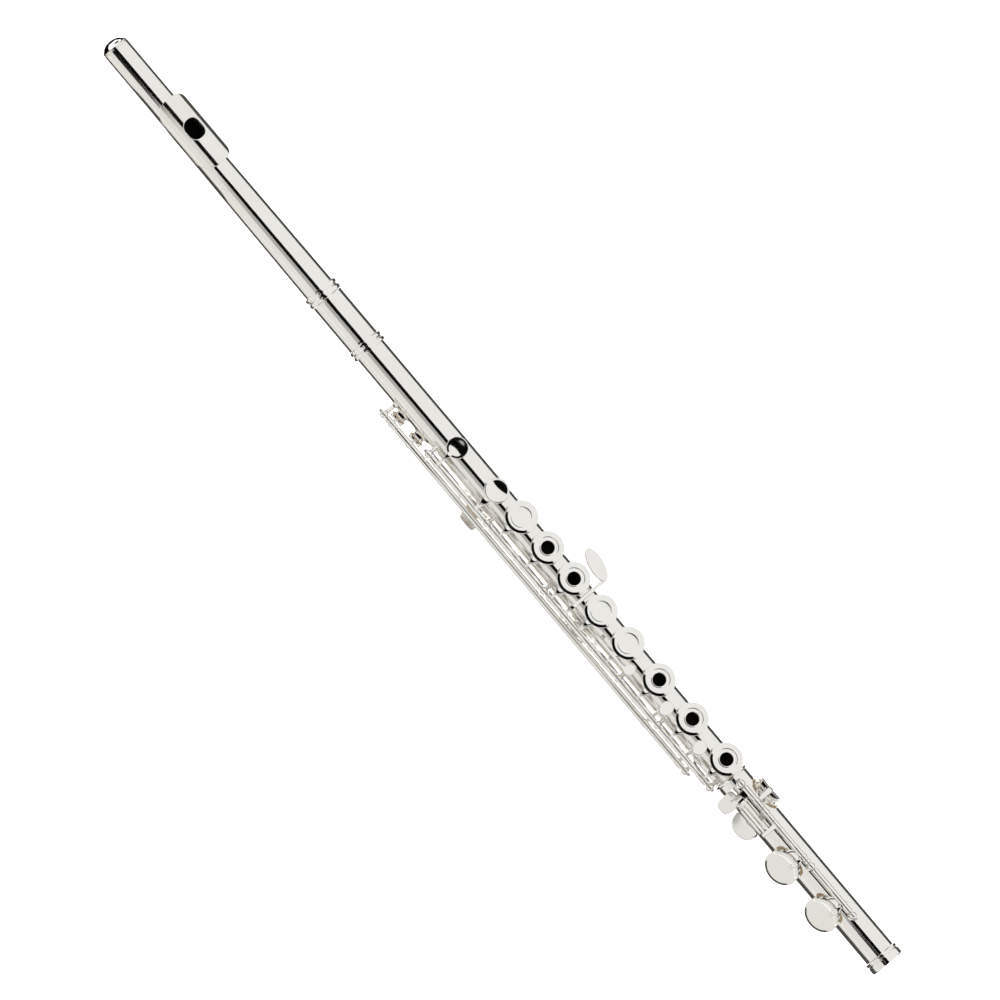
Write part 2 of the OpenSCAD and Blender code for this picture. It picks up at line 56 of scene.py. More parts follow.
def silver(name, color, rough=0.07, scratch=0.012, tarnish=0.03, scale=900.0):
    m, nt, b = new_mat(name)
    b.inputs["Metallic"].default_value = 1.0
    co = nt.nodes.new("ShaderNodeTexCoord")
    # slow tarnish: a slight warm darkening in soft patches
    n1 = node(nt, "ShaderNodeTexNoise", Scale=38.0, Detail=5.0, Roughness=0.6)
    nt.links.new(co.outputs["Object"], n1.inputs["Vector"])
    ramp = nt.nodes.new("ShaderNodeValToRGB")
    ramp.color_ramp.elements[0].position = 0.35
    ramp.color_ramp.elements[1].position = 0.75
    dark = tuple(c * (1 - tarnish * k) for c, k in zip(color, (1.0, 1.25, 1.7)))
    ramp.color_ramp.elements[0].color = (*dark, 1)
    ramp.color_ramp.elements[1].color = (*color, 1)
    nt.links.new(n1.outputs["Fac"], ramp.inputs["Fac"])
    nt.links.new(ramp.outputs["Color"], b.inputs["Base Color"])
    # wiped surface: fine hairlines run round and along the tube
    mp = nt.nodes.new("ShaderNodeMapping")
    mp.inputs["Scale"].default_value = (0.12, 1.0, 1.0)
    nt.links.new(co.outputs["Object"], mp.inputs["Vector"])
    n2 = node(nt, "ShaderNodeTexNoise", Scale=scale, Detail=3.0, Roughness=0.7)
    nt.links.new(mp.outputs["Vector"], n2.inputs["Vector"])
    rr = nt.nodes.new("ShaderNodeMapRange")
    rr.inputs["To Min"].default_value = rough * 0.7
    rr.inputs["To Max"].default_value = rough * 1.5
    nt.links.new(n2.outputs["Fac"], rr.inputs["Value"])
    nt.links.new(rr.outputs["Result"], b.inputs["Roughness"])
    bp = node(nt, "ShaderNodeBump", Strength=scratch, Distance=0.0004)
    nt.links.new(n2.outputs["Fac"], bp.inputs["Height"])
    nt.links.new(bp.outputs["Normal"], b.inputs["Normal"])
    return m

def soft(name, c0, c1, scale, rough=0.6, bump=0.3, metallic=0.0, dist=0.0003):
    m, nt, b = new_mat(name)
    b.inputs["Metallic"].default_value = metallic
    b.inputs["Roughness"].default_value = rough
    co = nt.nodes.new("ShaderNodeTexCoord")
    n1 = node(nt, "ShaderNodeTexNoise", Scale=scale, Detail=6.0, Roughness=0.65)
    nt.links.new(co.outputs["Object"], n1.inputs["Vector"])
    ramp = nt.nodes.new("ShaderNodeValToRGB")
    ramp.color_ramp.elements[0].position = 0.3
    ramp.color_ramp.elements[1].position = 0.7
    ramp.color_ramp.elements[0].color = (*c0, 1)
    ramp.color_ramp.elements[1].color = (*c1, 1)
    nt.links.new(n1.outputs["Fac"], ramp.inputs["Fac"])
    nt.links.new(ramp.outputs["Color"], b.inputs["Base Color"])
    bp = node(nt, "ShaderNodeBump", Strength=bump, Distance=dist)
    nt.links.new(n1.outputs["Fac"], bp.inputs["Height"])
    nt.links.new(bp.outputs["Normal"], b.inputs["Normal"])
    return m

SILVER = silver("silver_plate", (0.955, 0.945, 0.925))
LIP = silver("silver_lip", (0.95, 0.94, 0.915), rough=0.09, tarnish=0.05)
STEEL = silver("rod_steel", (0.70, 0.70, 0.72), rough=0.16, scratch=0.03, tarnish=0.05)
# near-black inner wall: part tarnish, part painted shade standing in for the dark inside the tube and the blow hole
INNER_TARNISH_AND_SHADE = soft("bore_tarnish_and_painted_shade", (0.02, 0.018, 0.016), (0.05, 0.045, 0.04), 120.0, rough=0.55, metallic=0.6)
BLUED = soft("blued_spring", (0.05, 0.07, 0.16), (0.11, 0.12, 0.2), 400.0, rough=0.3, metallic=1.0, bump=0.05)
PAD = soft("pad_skin", (0.66, 0.46, 0.25), (0.84, 0.66, 0.42), 260.0, rough=0.45, bump=0.25)
FELT = soft("pad_felt", (0.48, 0.34, 0.2), (0.66, 0.5, 0.32), 900.0, rough=0.95, bump=0.6)
CORK = soft("cork", (0.30, 0.17, 0.08), (0.66, 0.44, 0.24), 700.0, rough=0.85, bump=0.6)
BRASS = soft("brass", (0.70, 0.52, 0.22), (0.82, 0.64, 0.30), 300.0, rough=0.25, metallic=1.0, bump=0.05)
MATS = [SILVER, INNER_TARNISH_AND_SHADE, PAD, FELT, STEEL, BLUED, CORK, BRASS, LIP]
M_SILVER, M_INNER_TARNISH_AND_SHADE, M_PAD, M_FELT, M_STEEL, M_BLUE, M_CORK, M_BRASS, M_LIP = range(9)

# ---------------------------------------------------------------- mesh kit (mm, x from the blow hole)
def T(x=0, y=0, z=0): return Matrix.Translation((x, y, z))
def R(deg, ax="X"): return Matrix.Rotation(math.radians(deg), 4, ax)
def along_x(x=0, p=(0, 0)): return T(x, p[0], p[1]) @ R(90, "Y")
def hole(x, ang): return T(x) @ R(-ang) @ T(0, 0, RIM)
def swung(rod, a): return T(0, *rod) @ R(a) @ T(0, -rod[0], -rod[1])
I4 = Matrix.Identity(4)

def fillet(pts, rad, n=3, closed=True):
    """Rounds the corners of a polyline. rad is one radius or one per point."""
    out, N = [], len(pts)
    for i, p in enumerate(pts):
        r = rad[i] if isinstance(rad, (list, tuple)) else rad
        if (not closed and i in (0, N - 1)) or r <= 0 or p[0] <= 1e-6:
            out.append(p); continue
        a, b, c = Vector(pts[i - 1]), Vector(p), Vector(pts[(i + 1) % N])
        d0, d1 = (a - b), (c - b)
        l0, l1 = d0.length, d1.length
        if l0 < 1e-6 or l1 < 1e-6: out.append(p); continue
        d0, d1 = d0 / l0, d1 / l1
        cs = max(-1, min(1, d0.dot(d1)))
        half = math.acos(cs) / 2
        if half > pi / 2 - 0.06: out.append(p); continue
        t = min(r / math.tan(half), l0 * 0.45, l1 * 0.45)
        rr = t * math.tan(half)
        m = (d0 + d1).normalized()
        ctr = b + m * (rr / math.sin(half))
        s, e = b + d0 * t, b + d1 * t
        a0 = math.atan2(*(s - ctr).yx); a1 = math.atan2(*(e - ctr).yx)
        da = (a1 - a0 + pi) % (2 * pi) - pi
        for k in range(n + 1):
            q = a0 + da * k / n
            out.append((ctr.x + rr * math.cos(q), ctr.y + rr * math.sin(q)))
    return out

def smooth_loop(pts, n=6):
    out, N = [], len(pts)
    for i in range(N):
        p0, p1, p2, p3 = (Vector(pts[(i + k - 1) % N]) for k in range(4))
        for j in range(n):
            t = j / n
            out.append(tuple(0.5 * ((2 * p1) + (-p0 + p2) * t + (2 * p0 - 5 * p1 + 4 * p2 - p3) * t * t
                                    + (-p0 + 3 * p1 - 3 * p2 + p3) * t ** 3)))
    return out

class Piece:
    def __init__(s, name, body, *nodes, angle=32, slot=None):
        s.name, s.body, s.nodes, s.angle, s.slot = name, body, nodes, angle, slot
        s.v, s.f, s.m, s.base = [], [], [], I4

    def add(s, verts, faces, mat=M_SILVER, M=I4):
        o = len(s.v); MM = s.base @ M
        s.v += [tuple(MM @ Vector(v)) for v in verts]
        s.f += [tuple(i + o for i in f) for f in faces]
        s.m += [mat] * len(faces)

    def grid(s, rings, mat=M_SILVER, M=I4, loop=False, caps=True):
        """rings: lists of equal length of points, each ring closed."""
        n = len(rings[0]); V = [p for r in rings for p in r]; F = []
        K = len(rings)
        for a in range(K if loop else K - 1):
            b = (a + 1) % K
            for i in range(n):
                j = (i + 1) % n
                F.append((a * n + i, a * n + j, b * n + j, b * n + i))
        if caps and not loop:
            F.append(tuple(range(n - 1, -1, -1)))
            F.append(tuple((K - 1) * n + i for i in range(n)))
        s.add(V, F, mat, M)

    def lathe(s, prof, M=I4, seg=72, mat=M_SILVER, r=0.2, n=3, loop=True, mats=None):
        if r: prof = fillet(prof, r, n, loop)
        V, idx = [], []
        for (rad, h) in prof:
            if rad < 1e-6:
                idx.append([len(V)] * seg); V.append((0, 0, h))
            else:
                idx.append([len(V) + i for i in range(seg)])
                V += [(rad * math.cos(2 * pi * i / seg), rad * math.sin(2 * pi * i / seg), h) for i in range(seg)]
        F = []
        K = len(idx)
        for a in range(K if loop else K - 1):
            p, q = idx[a], idx[(a + 1) % K]
            for i in range(seg):
                j = (i + 1) % seg
                f = []
                for w in (p[i], p[j], q[j], q[i]):
                    if w not in f: f.append(w)
                if len(f) > 2: F.append(tuple(f))
        s.add(V, F, mat, M)

    def rod(s, x0, x1, r, p=(0, 0), mat=M_SILVER, seg=40, b=0.15, ri=0):
        if ri: prof = [(ri, 0), (r, 0), (r, x1 - x0), (ri, x1 - x0)]
        else: prof = [(0, 0), (r, 0), (r, x1 - x0), (0, x1 - x0)]
        prof = fillet(prof, [0 if not ri else b * .5, b, b, 0 if not ri else b * .5], 2, True)
        s.lathe(prof, along_x(x0, p), seg, mat, r=0, loop=bool(ri))

    def sweep(s, path, half_w, thick, x, mat=M_SILVER, n=14, M=I4, power=2.6, sub=5):
        """Arm whose centre line runs in the (y, z) plane at station x. half_w and thick per point."""
        pts = [Vector(p) for p in path]; P, W, H = [], [], []
        for i in range(len(pts) - 1):
            p0, p1, p2, p3 = pts[max(i - 1, 0)], pts[i], pts[i + 1], pts[min(i + 2, len(pts) - 1)]
            for k in range(sub):
                t = k / sub
                P.append(0.5 * ((2 * p1) + (p2 - p0) * t + (2 * p0 - 5 * p1 + 4 * p2 - p3) * t * t + (-p0 + 3 * p1 - 3 * p2 + p3) * t ** 3))
                e = t * t * (3 - 2 * t)
                W.append(half_w[i] * (1 - e) + half_w[i + 1] * e)
                H.append(thick[i] * (1 - e) + thick[i + 1] * e)
        P.append(pts[-1]); W.append(half_w[-1]); H.append(thick[-1])
        rings = []
        for i, p in enumerate(P):
            d = (P[min(i + 1, len(P) - 1)] - P[max(i - 1, 0)]).normalized()
            nrm = Vector((-d.y, d.x))
            ring = []
            for k in range(n * 2):
                a = pi * k / n
                c, q = math.cos(a), math.sin(a)
                c = math.copysign(abs(c) ** (2 / power), c); q = math.copysign(abs(q) ** (2 / power), q)
                o = p + nrm * (q * H[i] / 2)
                xx = x[i] if isinstance(x, list) else x
                ring.append((xx + c * W[i], o.x, o.y))
            rings.append(ring)
        s.grid(rings, mat, M)

    def puck(s, outline, centre, zf, thick, M=I4, mat=M_SILVER, crown=0.0, edge=0.35, steps=7):
        """Plate with a smooth outline in plan, height zf(x, y), rounded edge, and a slight crown."""
        C = Vector(centre); O = [Vector(p) for p in outline]
        def ring(sc, inset, dz, top):
            out = []
            for p in O:
                d = p - C; L = d.length
                q = C + d * max(0.0, (L * sc - inset)) / L
                z = zf(q.x, q.y) + dz + (crown * (1 - sc * sc) if top else 0)
                out.append((q.x, q.y, z))
            return out
        rings = []
        for i in range(1, steps): rings.append(ring(i / steps, 0, 0, True))
        for k in range(5):
            a = pi / 2 * k / 4
            rings.append(ring(1, edge * (1 - math.sin(a)), -edge * (1 - math.cos(a)) if False else -edge * (1 - math.cos(a)), True))
        for k in range(5):
            a = pi / 2 * k / 4
            rings.append(ring(1, edge * (1 - math.cos(a)), -thick + edge * (1 - math.sin(a)), False))
        for i in range(steps - 1, 0, -1): rings.append(ring(i / steps, 0, -thick, False))
        s.grid(rings, mat, M)

    def make(s, custom=None):
        me = bpy.data.meshes.new(s.name)
        me.from_pydata([((x - FE) * .001, y * .001, z * .001) for x, y, z in s.v], [], s.f)
        used = sorted(set(s.m)); remap = {k: i for i, k in enumerate(used)}
        for k in used: me.materials.append(MATS[k])
        me.polygons.foreach_set("material_index", [remap[k] for k in s.m])
        bm = bmesh.new(); bm.from_mesh(me)
        bmesh.ops.recalc_face_normals(bm, faces=bm.faces[:])
        bm.to_mesh(me); bm.free()
        me.polygons.foreach_set("use_smooth", [True] * len(me.polygons))
        me.set_sharp_from_angle(angle=math.radians(s.angle))
        o = bpy.data.objects.new(s.name, me)
        bpy.context.scene.collection.objects.link(o)
        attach(o, s.body)
        if s.nodes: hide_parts(*s.nodes)
        return o

def cutters(items, name):
    """One throw-away object holding closed cutter shells."""
    c = Piece(name, None)
    for fn in items: fn(c)
    me = bpy.data.meshes.new(name)
    me.from_pydata([((x - FE) * .001, y * .001, z * .001) for x, y, z in c.v], [], c.f)
    bm = bmesh.new(); bm.from_mesh(me); bmesh.ops.recalc_face_normals(bm, faces=bm.faces[:]); bm.to_mesh(me); bm.free()
    o = bpy.data.objects.new(name, me); bpy.context.scene.collection.objects.link(o)
    return o

def cut(obj, cutter, radial=None):
    """Boolean difference, applied; radial = (radius function of x in mm) gives exact tube normals."""
    md = obj.modifiers.new("cut", "BOOLEAN"); md.operation = "DIFFERENCE"; md.solver = "EXACT"; md.object = cutter
    dg = bpy.context.evaluated_depsgraph_get(); dg.update()
    me = bpy.data.meshes.new_from_object(obj.evaluated_get(dg), preserve_all_data_layers=True, depsgraph=dg)
    obj.modifiers.clear(); old = obj.data; name = old.name; obj.data = me; bpy.data.meshes.remove(old); me.name = name
    bpy.data.objects.remove(cutter)
    me.polygons.foreach_set("use_smooth", [True] * len(me.polygons))
    me.set_sharp_from_angle(angle=math.radians(30))
    if radial:
        nor = [Vector(l.normal) for l in me.corner_normals] if False else [Vector(c.vector) for c in me.corner_normals]
        for p in me.polygons:
            ok = True
            for vi in p.vertices:
                v = me.vertices[vi].co
                if abs(math.hypot(v.y, v.z) * 1000 - radial(v.x * 1000 + FE)) > 0.02: ok = False; break
            if ok and p.normal.y * p.center.y + p.normal.z * p.center.z > 0:
                for li in p.loop_indices:
                    v = me.vertices[me.loops[li].vertex_index].co
                    nor[li] = Vector((0, v.y, v.z)).normalized()
        me.normals_split_custom_set([tuple(n) for n in nor])
    return obj

def dark_inner(o, lim):
    """The inside wall of the bore gets the near-black finish: tarnish plus painted shade inside the tube. lim is a
    radius in mm at station x.
    """
    me = o.data
    if INNER_TARNISH_AND_SHADE.name not in [m.name for m in me.materials]: me.materials.append(INNER_TARNISH_AND_SHADE)
    k = [m.name for m in me.materials].index(INNER_TARNISH_AND_SHADE.name)
    for p in me.polygons:
        if math.hypot(p.center.y, p.center.z) * 1000 < lim(p.center.x * 1000 + FE): p.material_index = k

# ---------------------------------------------------------------- head joint
def head_r(x):
    if x > 110: return 9.85
    if x < -17: return 8.86
    return 8.86 + (9.85 - 8.86) * ((x + 17) / 127) ** 0.72

BL, BW = 12.4, 10.4
def rrect(n, hx, hy, cr):
    """Rounded rectangle, as n points by direction angle."""
    out = []
    for i in range(n):
        a = 2 * pi * i / n
        c, s_ = math.cos(a), math.sin(a)
        lo, hi = 0.0, 40.0
        for _ in range(40):
            m = (lo + hi) / 2
            qx, qy = abs(c * m) - (hx - cr), abs(s_ * m) - (hy - cr)
            d = math.hypot(max(qx, 0), max(qy, 0)) + min(max(qx, qy), 0) - cr
            if d > 0: hi = m
            else: lo = m
        out.append((c * lo, s_ * lo))
    return out

NB = 128
blow = rrect(NB, BL / 2, BW / 2, 4.6)
blow_dirs = [2 * pi * i / NB for i in range(NB)]
def prism(c, pts, z0, z1, M):
    c.grid([[(x, y, z0) for x, y in pts], [(x, y, z1) for x, y in pts]], M=M)

xs = [-61.7] + [-55 + 8.25 * i for i in range(21)] + [118, 128, 138, 149.6, 150]
xs = sorted(set(round(x, 3) for x in xs))
h = Piece("head_tube_shell", "head", "head_tube")
outer = [(head_r(x), x) for x in xs]
inner = [(head_r(x) - 0.4 if x > -17 else 8.46, x) for x in reversed(xs)]
h.lathe(outer + inner, T() @ R(90, "Y"), 160, r=0)
head_o = h.make()
cut(head_o, cutters([lambda c: prism(c, blow, 4, 20, R(-2))], "k1"), radial=head_r)
dark_inner(head_o, lambda x: head_r(x) - 0.25)

# riser wall between the tube and the lip plate
rp = Piece("riser_wall", "head", "embouchure_riser")
def riser_ring(g, ztop):
    pts = rrect(NB, BL / 2 + g, BW / 2 + g, 4.6 + g)
    out = []
    for x, y in pts:
        out.append((x, y, ztop(y)))
    return out
in_top = lambda y: math.sqrt((13.6 - 0.35) ** 2 - y * y) if abs(y) < 13 else 0
low = lambda y: math.sqrt(max(8.7 ** 2 - y * y, 1))
ro = lambda y: math.sqrt(12.9 ** 2 - y * y)
a_, b_, c_, d_ = riser_ring(0.0, low), riser_ring(0.0, lambda y: 1.93 + math.sqrt(11.2 ** 2 - (y - 0.73) ** 2)), riser_ring(1.3, lambda y: 1.93 + math.sqrt(11.1 ** 2 - (y - 0.73) ** 2)), riser_ring(1.3, low)
# inner face of the riser: near-black tarnish plus painted shade inside the blow hole
rp.grid([a_, b_], M_INNER_TARNISH_AND_SHADE, R(-2), caps=False)
rp.grid([b_, c_, d_, a_], M_SILVER, R(-2), caps=False)
rp.make()

# lip plate: rings from the blow hole out to the edge of the plate, over a cylinder
LR, LC, PLEAN = 11.7, (0.8, 1.9), math.radians(3.5)
def plate_outline():
    """Outer outline by direction from the hole: straight sides, rounded ends. (x, arc) in mm."""
    hw = LR * math.radians(71.5)
    pts = []
    for a in blow_dirs:
        c, s_ = math.cos(a), math.sin(a)
        lo, hi = 0.0, 60.0
        for _ in range(44):
            m = (lo + hi) / 2
            x, w = c * m, s_ * m
            ax = 23.8 if x > 0 else 22.0
            e = 3.2 if x > 0 else 2.9
            d = (abs(x) / ax) ** e + (abs(w) / hw) ** e - 1
            if d > 0: hi = m
            else: lo = m
        pts.append((c * lo, s_ * lo))
    return pts
po = plate_outline()
pin = [(x, LR * (math.asin((y + 0.475 - LC[0]) / LR) + PLEAN)) for x, y in blow]
lp = Piece("lip_plate_shell", "head", "lip_plate", angle=40)
def plate_ring(s_, off, grow=0.0):
    out = []
    for (x0, w0), (x1, w1) in zip(pin, po):
        x, w = x0 + (x1 - x0) * s_, w0 + (w1 - w0) * s_
        if grow:
            L = math.hypot(x, w); x += x / L * grow; w += w / L * grow
        rad = LR + off; ph = w / LR - PLEAN
        out.append((x, LC[0] + rad * math.sin(ph), LC[1] + rad * math.cos(ph)))
    return out
prof = []
er, th = 0.42, 0.9
for k in range(6):
    a = pi / 2 * k / 5
    prof.append((0, -er * (1 - math.sin(a)), er * (1 - math.cos(a))))      # hole lip rounds over
for i in range(1, 22): prof.append((i / 22, 0, 0))
for k in range(6):
    a = pi / 2 * k / 5
    prof.append((1, -er * (1 - math.cos(a)), -er * (1 - math.sin(a))))
prof.append((1, -th, 0)); prof.append((0.9, -th, 0)); prof.append((0.4, -th, 0)); prof.append((0.1, -th, 0)); prof.append((0, -th, 0))
lp.grid([plate_ring(*p) for p in prof], M_LIP, loop=True)
lp.make()

cr = Piece("crown_cap", "crown", "crown")
cr.lathe([(0, -67.4), (1.3, -67.33), (2.5, -67.15), (3.5, -66.85), (4.4, -66.45), (5.3, -65.9), (6.1, -65.25), (6.8, -64.6), (7.45, -63.95), (7.85, -63.6),
          (8.05, -63.45), (8.55, -63.4), (8.85, -63.1), (8.8, -62.75), (8.5, -62.6), (8.5, -62.5), (8.85, -62.4), (8.86, -61.75),
          (8.42, -61.75), (8.42, -53.5), (1.55, -53.5), (1.55, -62), (0, -62)], T() @ R(90, "Y"), 128, r=0.18, loop=False)
cr.make()
st = Piece("stopper_rod", "stopper", "stopper_screw")
thread = [(0, -60.5)]
x = -60.2
while x < -28:
    thread += [(1.28, x), (1.5, x + 0.4)]; x += 0.8
thread += [(1.5, -27.7), (1.5, -16.9), (0, -16.9)]
st.lathe(thread, T() @ R(90, "Y"), 32, M_BRASS, r=0, loop=False)
st.make()
ck = Piece("stopper_cork_plug", "stopper", "stopper_cork")
ck.lathe([(1.5, -26.5), (8.3, -26.5), (8.43, -25.5), (8.43, -19.1), (8.3, -18.1), (1.5, -18.1)], T() @ R(90, "Y"), 72, M_CORK, r=0.15)
ck.make()
sp_ = Piece("stopper_discs", "stopper", "stopper_plates")
for a in (-18.1, -27.7): sp_.lathe([(1.5, a), (8.3, a), (8.3, a + 1.2), (1.5, a + 1.2)], T() @ R(90, "Y"), 72, r=0.2)
sp_.make()

# ---------------------------------------------------------------- body joint
BIG = [(280.7, 0), (303.0, 0), (325.4, 0), (348.8, 0), (372.0, 0), (398.5, 0), (426.9, 0), (456.1, 0)]
HOLES = [(x, a, 7.2) for x, a in BIG] + [(260.8, -165, 6.9), (348.8, -124, 6.9), (228.6, -10, 3.6), (194.8, -115, 3.9), (210.2, -115, 3.9)]
FHOLES = [(484.6, 59.5, 7.8), (521.8, -66.5, 7.8), (555.8, -66.5, 7.8)]
def rim(p, x, ang, r):
    # drawn wall flaring out of the tube, then a rolled bead
    base = math.sqrt(max(9.9 ** 2 - (r + 0.7) ** 2, 4.0)) - RIM - 0.7
    prof = [(r, base - 0.8), (r, -0.35), (r + 0.12, -0.1), (r + 0.35, 0), (r + 0.65, -0.05), (r + 0.88, -0.25), (r + 0.95, -0.5),
            (r + 0.85, -0.75), (r + 0.6, -0.92), (r + 0.42, -1.1), (r + 0.4, base)]
    p.lathe(prof, hole(x, ang), 72 if r > 5 else 48, r=0)
def st_list(a, b, step):
    n = max(1, int(round((b - a) / step)))
    return [a + (b - a) * i / n for i in range(n + 1)]
def tube(name, body, nodes, outer, inner, holes, rad, lim):
    b = Piece(name, body, *nodes)
    b.lathe(outer + inner, T() @ R(90, "Y"), 180, r=0)
    o = b.make()
    if holes:
        k = cutters([(lambda c, q=q: c.lathe([(0, -6.5), (q[2], -6.5), (q[2], 6), (0, 6)], hole(q[0], q[1]), 64, r=0, loop=False)) for q in holes], "k")
        cut(o, k, radial=rad)
    dark_inner(o, lim)
    return o

bt = tube("body_tube_shell", "body", ["body_tube"],
          [(9.9, x) for x in st_list(151, 464.4, 22)] + [(9.75, 464.6), (9.65, 464.6), (9.65, 475.6), (9.5, 475.8)],
          [(9.2, 475.8), (9.2, 470)] + [(9.5, x) for x in reversed(st_list(151, 469.9, 22))],
          HOLES, lambda x: 9.9 if x < 464.5 else 9.65, lambda x: 9.52)
rims = Piece("tone_hole_rims", "body")
for q in HOLES: rim(rims, *q)
rims.make()
ft = tube("foot_tube_shell", "foot", ["foot_tube"],
          [(10.1, 464.7), (10.25, 464.9), (10.25, 476.2), (9.9, 476.5)] + [(9.9, x) for x in st_list(478, 600.1, 20)] + [(9.75, 600.3)],
          [(9.55, 600.3), (9.5, 600.1)] + [(9.5, x) for x in reversed(st_list(476, 598, 20))] + [(9.72, 475.9), (9.72, 464.9), (9.87, 464.7)],
          FHOLES, lambda x: 10.25 if x < 476.3 else 9.9, lambda x: 9.75 if x < 475.9 else 9.52)
frims = Piece("foot_tone_hole_rims", "foot")
for q in FHOLES: rim(frims, *q)
frims.make()

br = Piece("barrel_sleeve", "body", "barrel")
br.lathe([(9.9, 112.2), (10.5, 112.2), (10.5, 119.5), (10.38, 120.2), (10.38, 149.0), (10.5, 149.8), (10.5, 156.5), (9.9, 156.5)],
         T() @ R(90, "Y"), 160, r=0.2)
br.make()
rg = Piece("barrel_beads", "body", "barrel_rings", angle=60)
rg.lathe([(10.4, 112.2), (11.15, 112.3), (11.42, 113.0), (11.45, 113.8), (11.2, 114.7), (10.8, 115.0), (10.75, 115.5), (11.05, 115.9),
          (11.33, 116.6), (11.3, 117.6), (11.0, 118.5), (10.6, 118.9), (10.4, 118.9)], T() @ R(90, "Y"), 160, r=0.25)
rg.lathe([(10.4, 150.4), (10.8, 150.4), (11.15, 150.9), (11.35, 151.8), (11.25, 152.8), (10.8, 153.4), (10.8, 153.8), (11.2, 154.2),
          (11.45, 155.1), (11.4, 155.9), (11.1, 156.45), (10.4, 156.5)], T() @ R(90, "Y"), 160, r=0.25)
rg.make()
fr = Piece("foot_end_bead", "foot", "foot_end_ring", angle=60)
fr.lathe([(9.8, 593.3), (10.5, 593.3), (10.95, 593.7), (11.15, 594.5), (10.95, 595.3), (10.55, 595.7), (10.55, 596.0), (10.9, 596.2),
          (10.95, 596.6), (10.95, 599.8), (10.7, 600.3), (9.8, 600.3)], T() @ R(90, "Y"), 160, r=0.2)
fr.make()
fs = Piece("foot_socket_bead", "foot", "foot_socket_ring", angle=60)
fs.lathe([(10.1, 464.7), (10.7, 464.75), (11.0, 465.1), (11.1, 465.6), (11.0, 466.2), (10.7, 466.7), (10.1, 466.8)], T() @ R(90, "Y"), 160, r=0.2)
fs.make()

# rib, posts
def pang(rod): return math.degrees(math.atan2(rod[0], rod[1]))
rib = Piece("rib_strip", "body", "main_rib", angle=40)
sec = fillet([(1.7, 9.3), (1.7, 10.6), (-1.7, 10.6), (-1.7, 9.3)], [0, 0.45, 0.45, 0], 4)
Mrib = R(-pang(MAIN))
rib.grid([[(216.0, y, z) for y, z in sec], [(216.3, y, z) for y, z in sec], [(464.1, y, z) for y, z in sec], [(464.4, y, z) for y, z in sec]], M=Mrib)
rib.make()
def post(p, x, rod, base, foot_r, steel=False):
    L = math.hypot(*rod); B = 2.3
    M = T(x) @ R(-pang(rod))
    prof = [(0, base - 0.6), (foot_r, base - 0.6), (foot_r, base + 0.35), (foot_r * 0.8, base + 0.7), (1.28, base + 1.25),
            (1.12, (base + L - B) / 2 + 0.3), (1.2, L - B - 0.1), (1.55, L - B + 0.15)]
    for k in range(10):
        a = -pi / 2 + 0.62 + (pi - 0.62) * k / 9
        prof.append((max(0, B * math.cos(a)) if k < 9 else 0, L + B * math.sin(a)))
    p.lathe(prof, M, 40, r=0, loop=False)
mp = Piece("main_post_set", "body", "main_posts", angle=50)
for x in (221.1, 271.2, 319.9, 383.6, 417.1, 462): post(mp, x, MAIN, 10.6, 1.65)
mp.make()
tp = Piece("trill_post_set", "body", "trill_posts", angle=50)
for x in (188.2, 446.4): post(tp, x, TRILL, 9.9, 2.2)
tp.make()
up = Piece("thumb_post_set", "body", "thumb_posts", angle=50)
for x in (243, 279.5): post(up, x, THUMB, 9.9, 2.2)
up.make()
fp = Piece("foot_post_set", "foot", "foot_posts", angle=50)
for x, b in ((471.6, 10.25), (531.4, 9.9), (567, 9.9)): post(fp, x, FOOT, b, 2.2)
fp.make()
def screw(p, x, rod, r, s_):
    """Screw head outside a post, facing s_."""
    prof = [(0, 0), (r, 0), (r, 0.75), (r * 0.8, 1.0), (0, 1.05)]
    p.lathe(prof, T(x, *rod) @ R(90 * s_, "Y"), 28, M_STEEL, r=0.12, loop=False)
for nm, body, nodes, x0, x1, rod in (("left_steel", "body", "left_rod_steel", 217.6, 319.8, MAIN), ("right_steel", "body", "right_rod_steel", 383.7, 465, MAIN),
                                     ("thumb_steel", "body", "thumb_rod_steel", 240, 282.4, THUMB), ("g_steel", "g_keys", "g_rod_steel", 320, 383.5, MAIN)):
    s_ = Piece(nm, body, nodes); s_.rod(x0, x1, 1.0, rod, M_STEEL, 32); s_.make()
pv = Piece("trill_pivot_screws", "body", "pivot_screws")
pv.rod(184.6, 186.8, 1.0, TRILL, M_STEEL, 28); pv.rod(447.8, 450, 1.0, TRILL, M_STEEL, 28); pv.make()
pf = Piece("foot_pivots", "foot", "foot_pivot_screws")
pf.rod(468.4, 470.1, 1.0, FOOT, M_STEEL, 28); pf.rod(568.5, 570.2, 1.0, FOOT, M_STEEL, 28); pf.make()
def needle(p, x0, x1, rod):
    L = math.hypot(*rod); k = (L - 2.9) / L
    p.lathe([(0, 0), (0.3, 0.05), (0.35, 1.5), (0.3, (x1 - x0) * 0.5), (0.17, x1 - x0 - 0.2), (0, x1 - x0)] if x1 > 0 else [], along_x(x0, (rod[0] * k, rod[1] * k)), 12, M_BLUE, r=0, loop=False)
ns = Piece("needle_spring_set", "body", "needle_springs")
for a, b in ((219.5, 245), (269.6, 290), (296, 318.2), (321.6, 333), (366, 381.9), (382, 405), (415.5, 434), (446, 463.6)): needle(ns, a, b, MAIN)
ns.make()
nf = Piece("foot_spring_set", "foot", "foot_springs")
for a, b in ((470, 487), (513, 532.8), (533, 550)): needle(nf, a, b, FOOT)
nf.make()

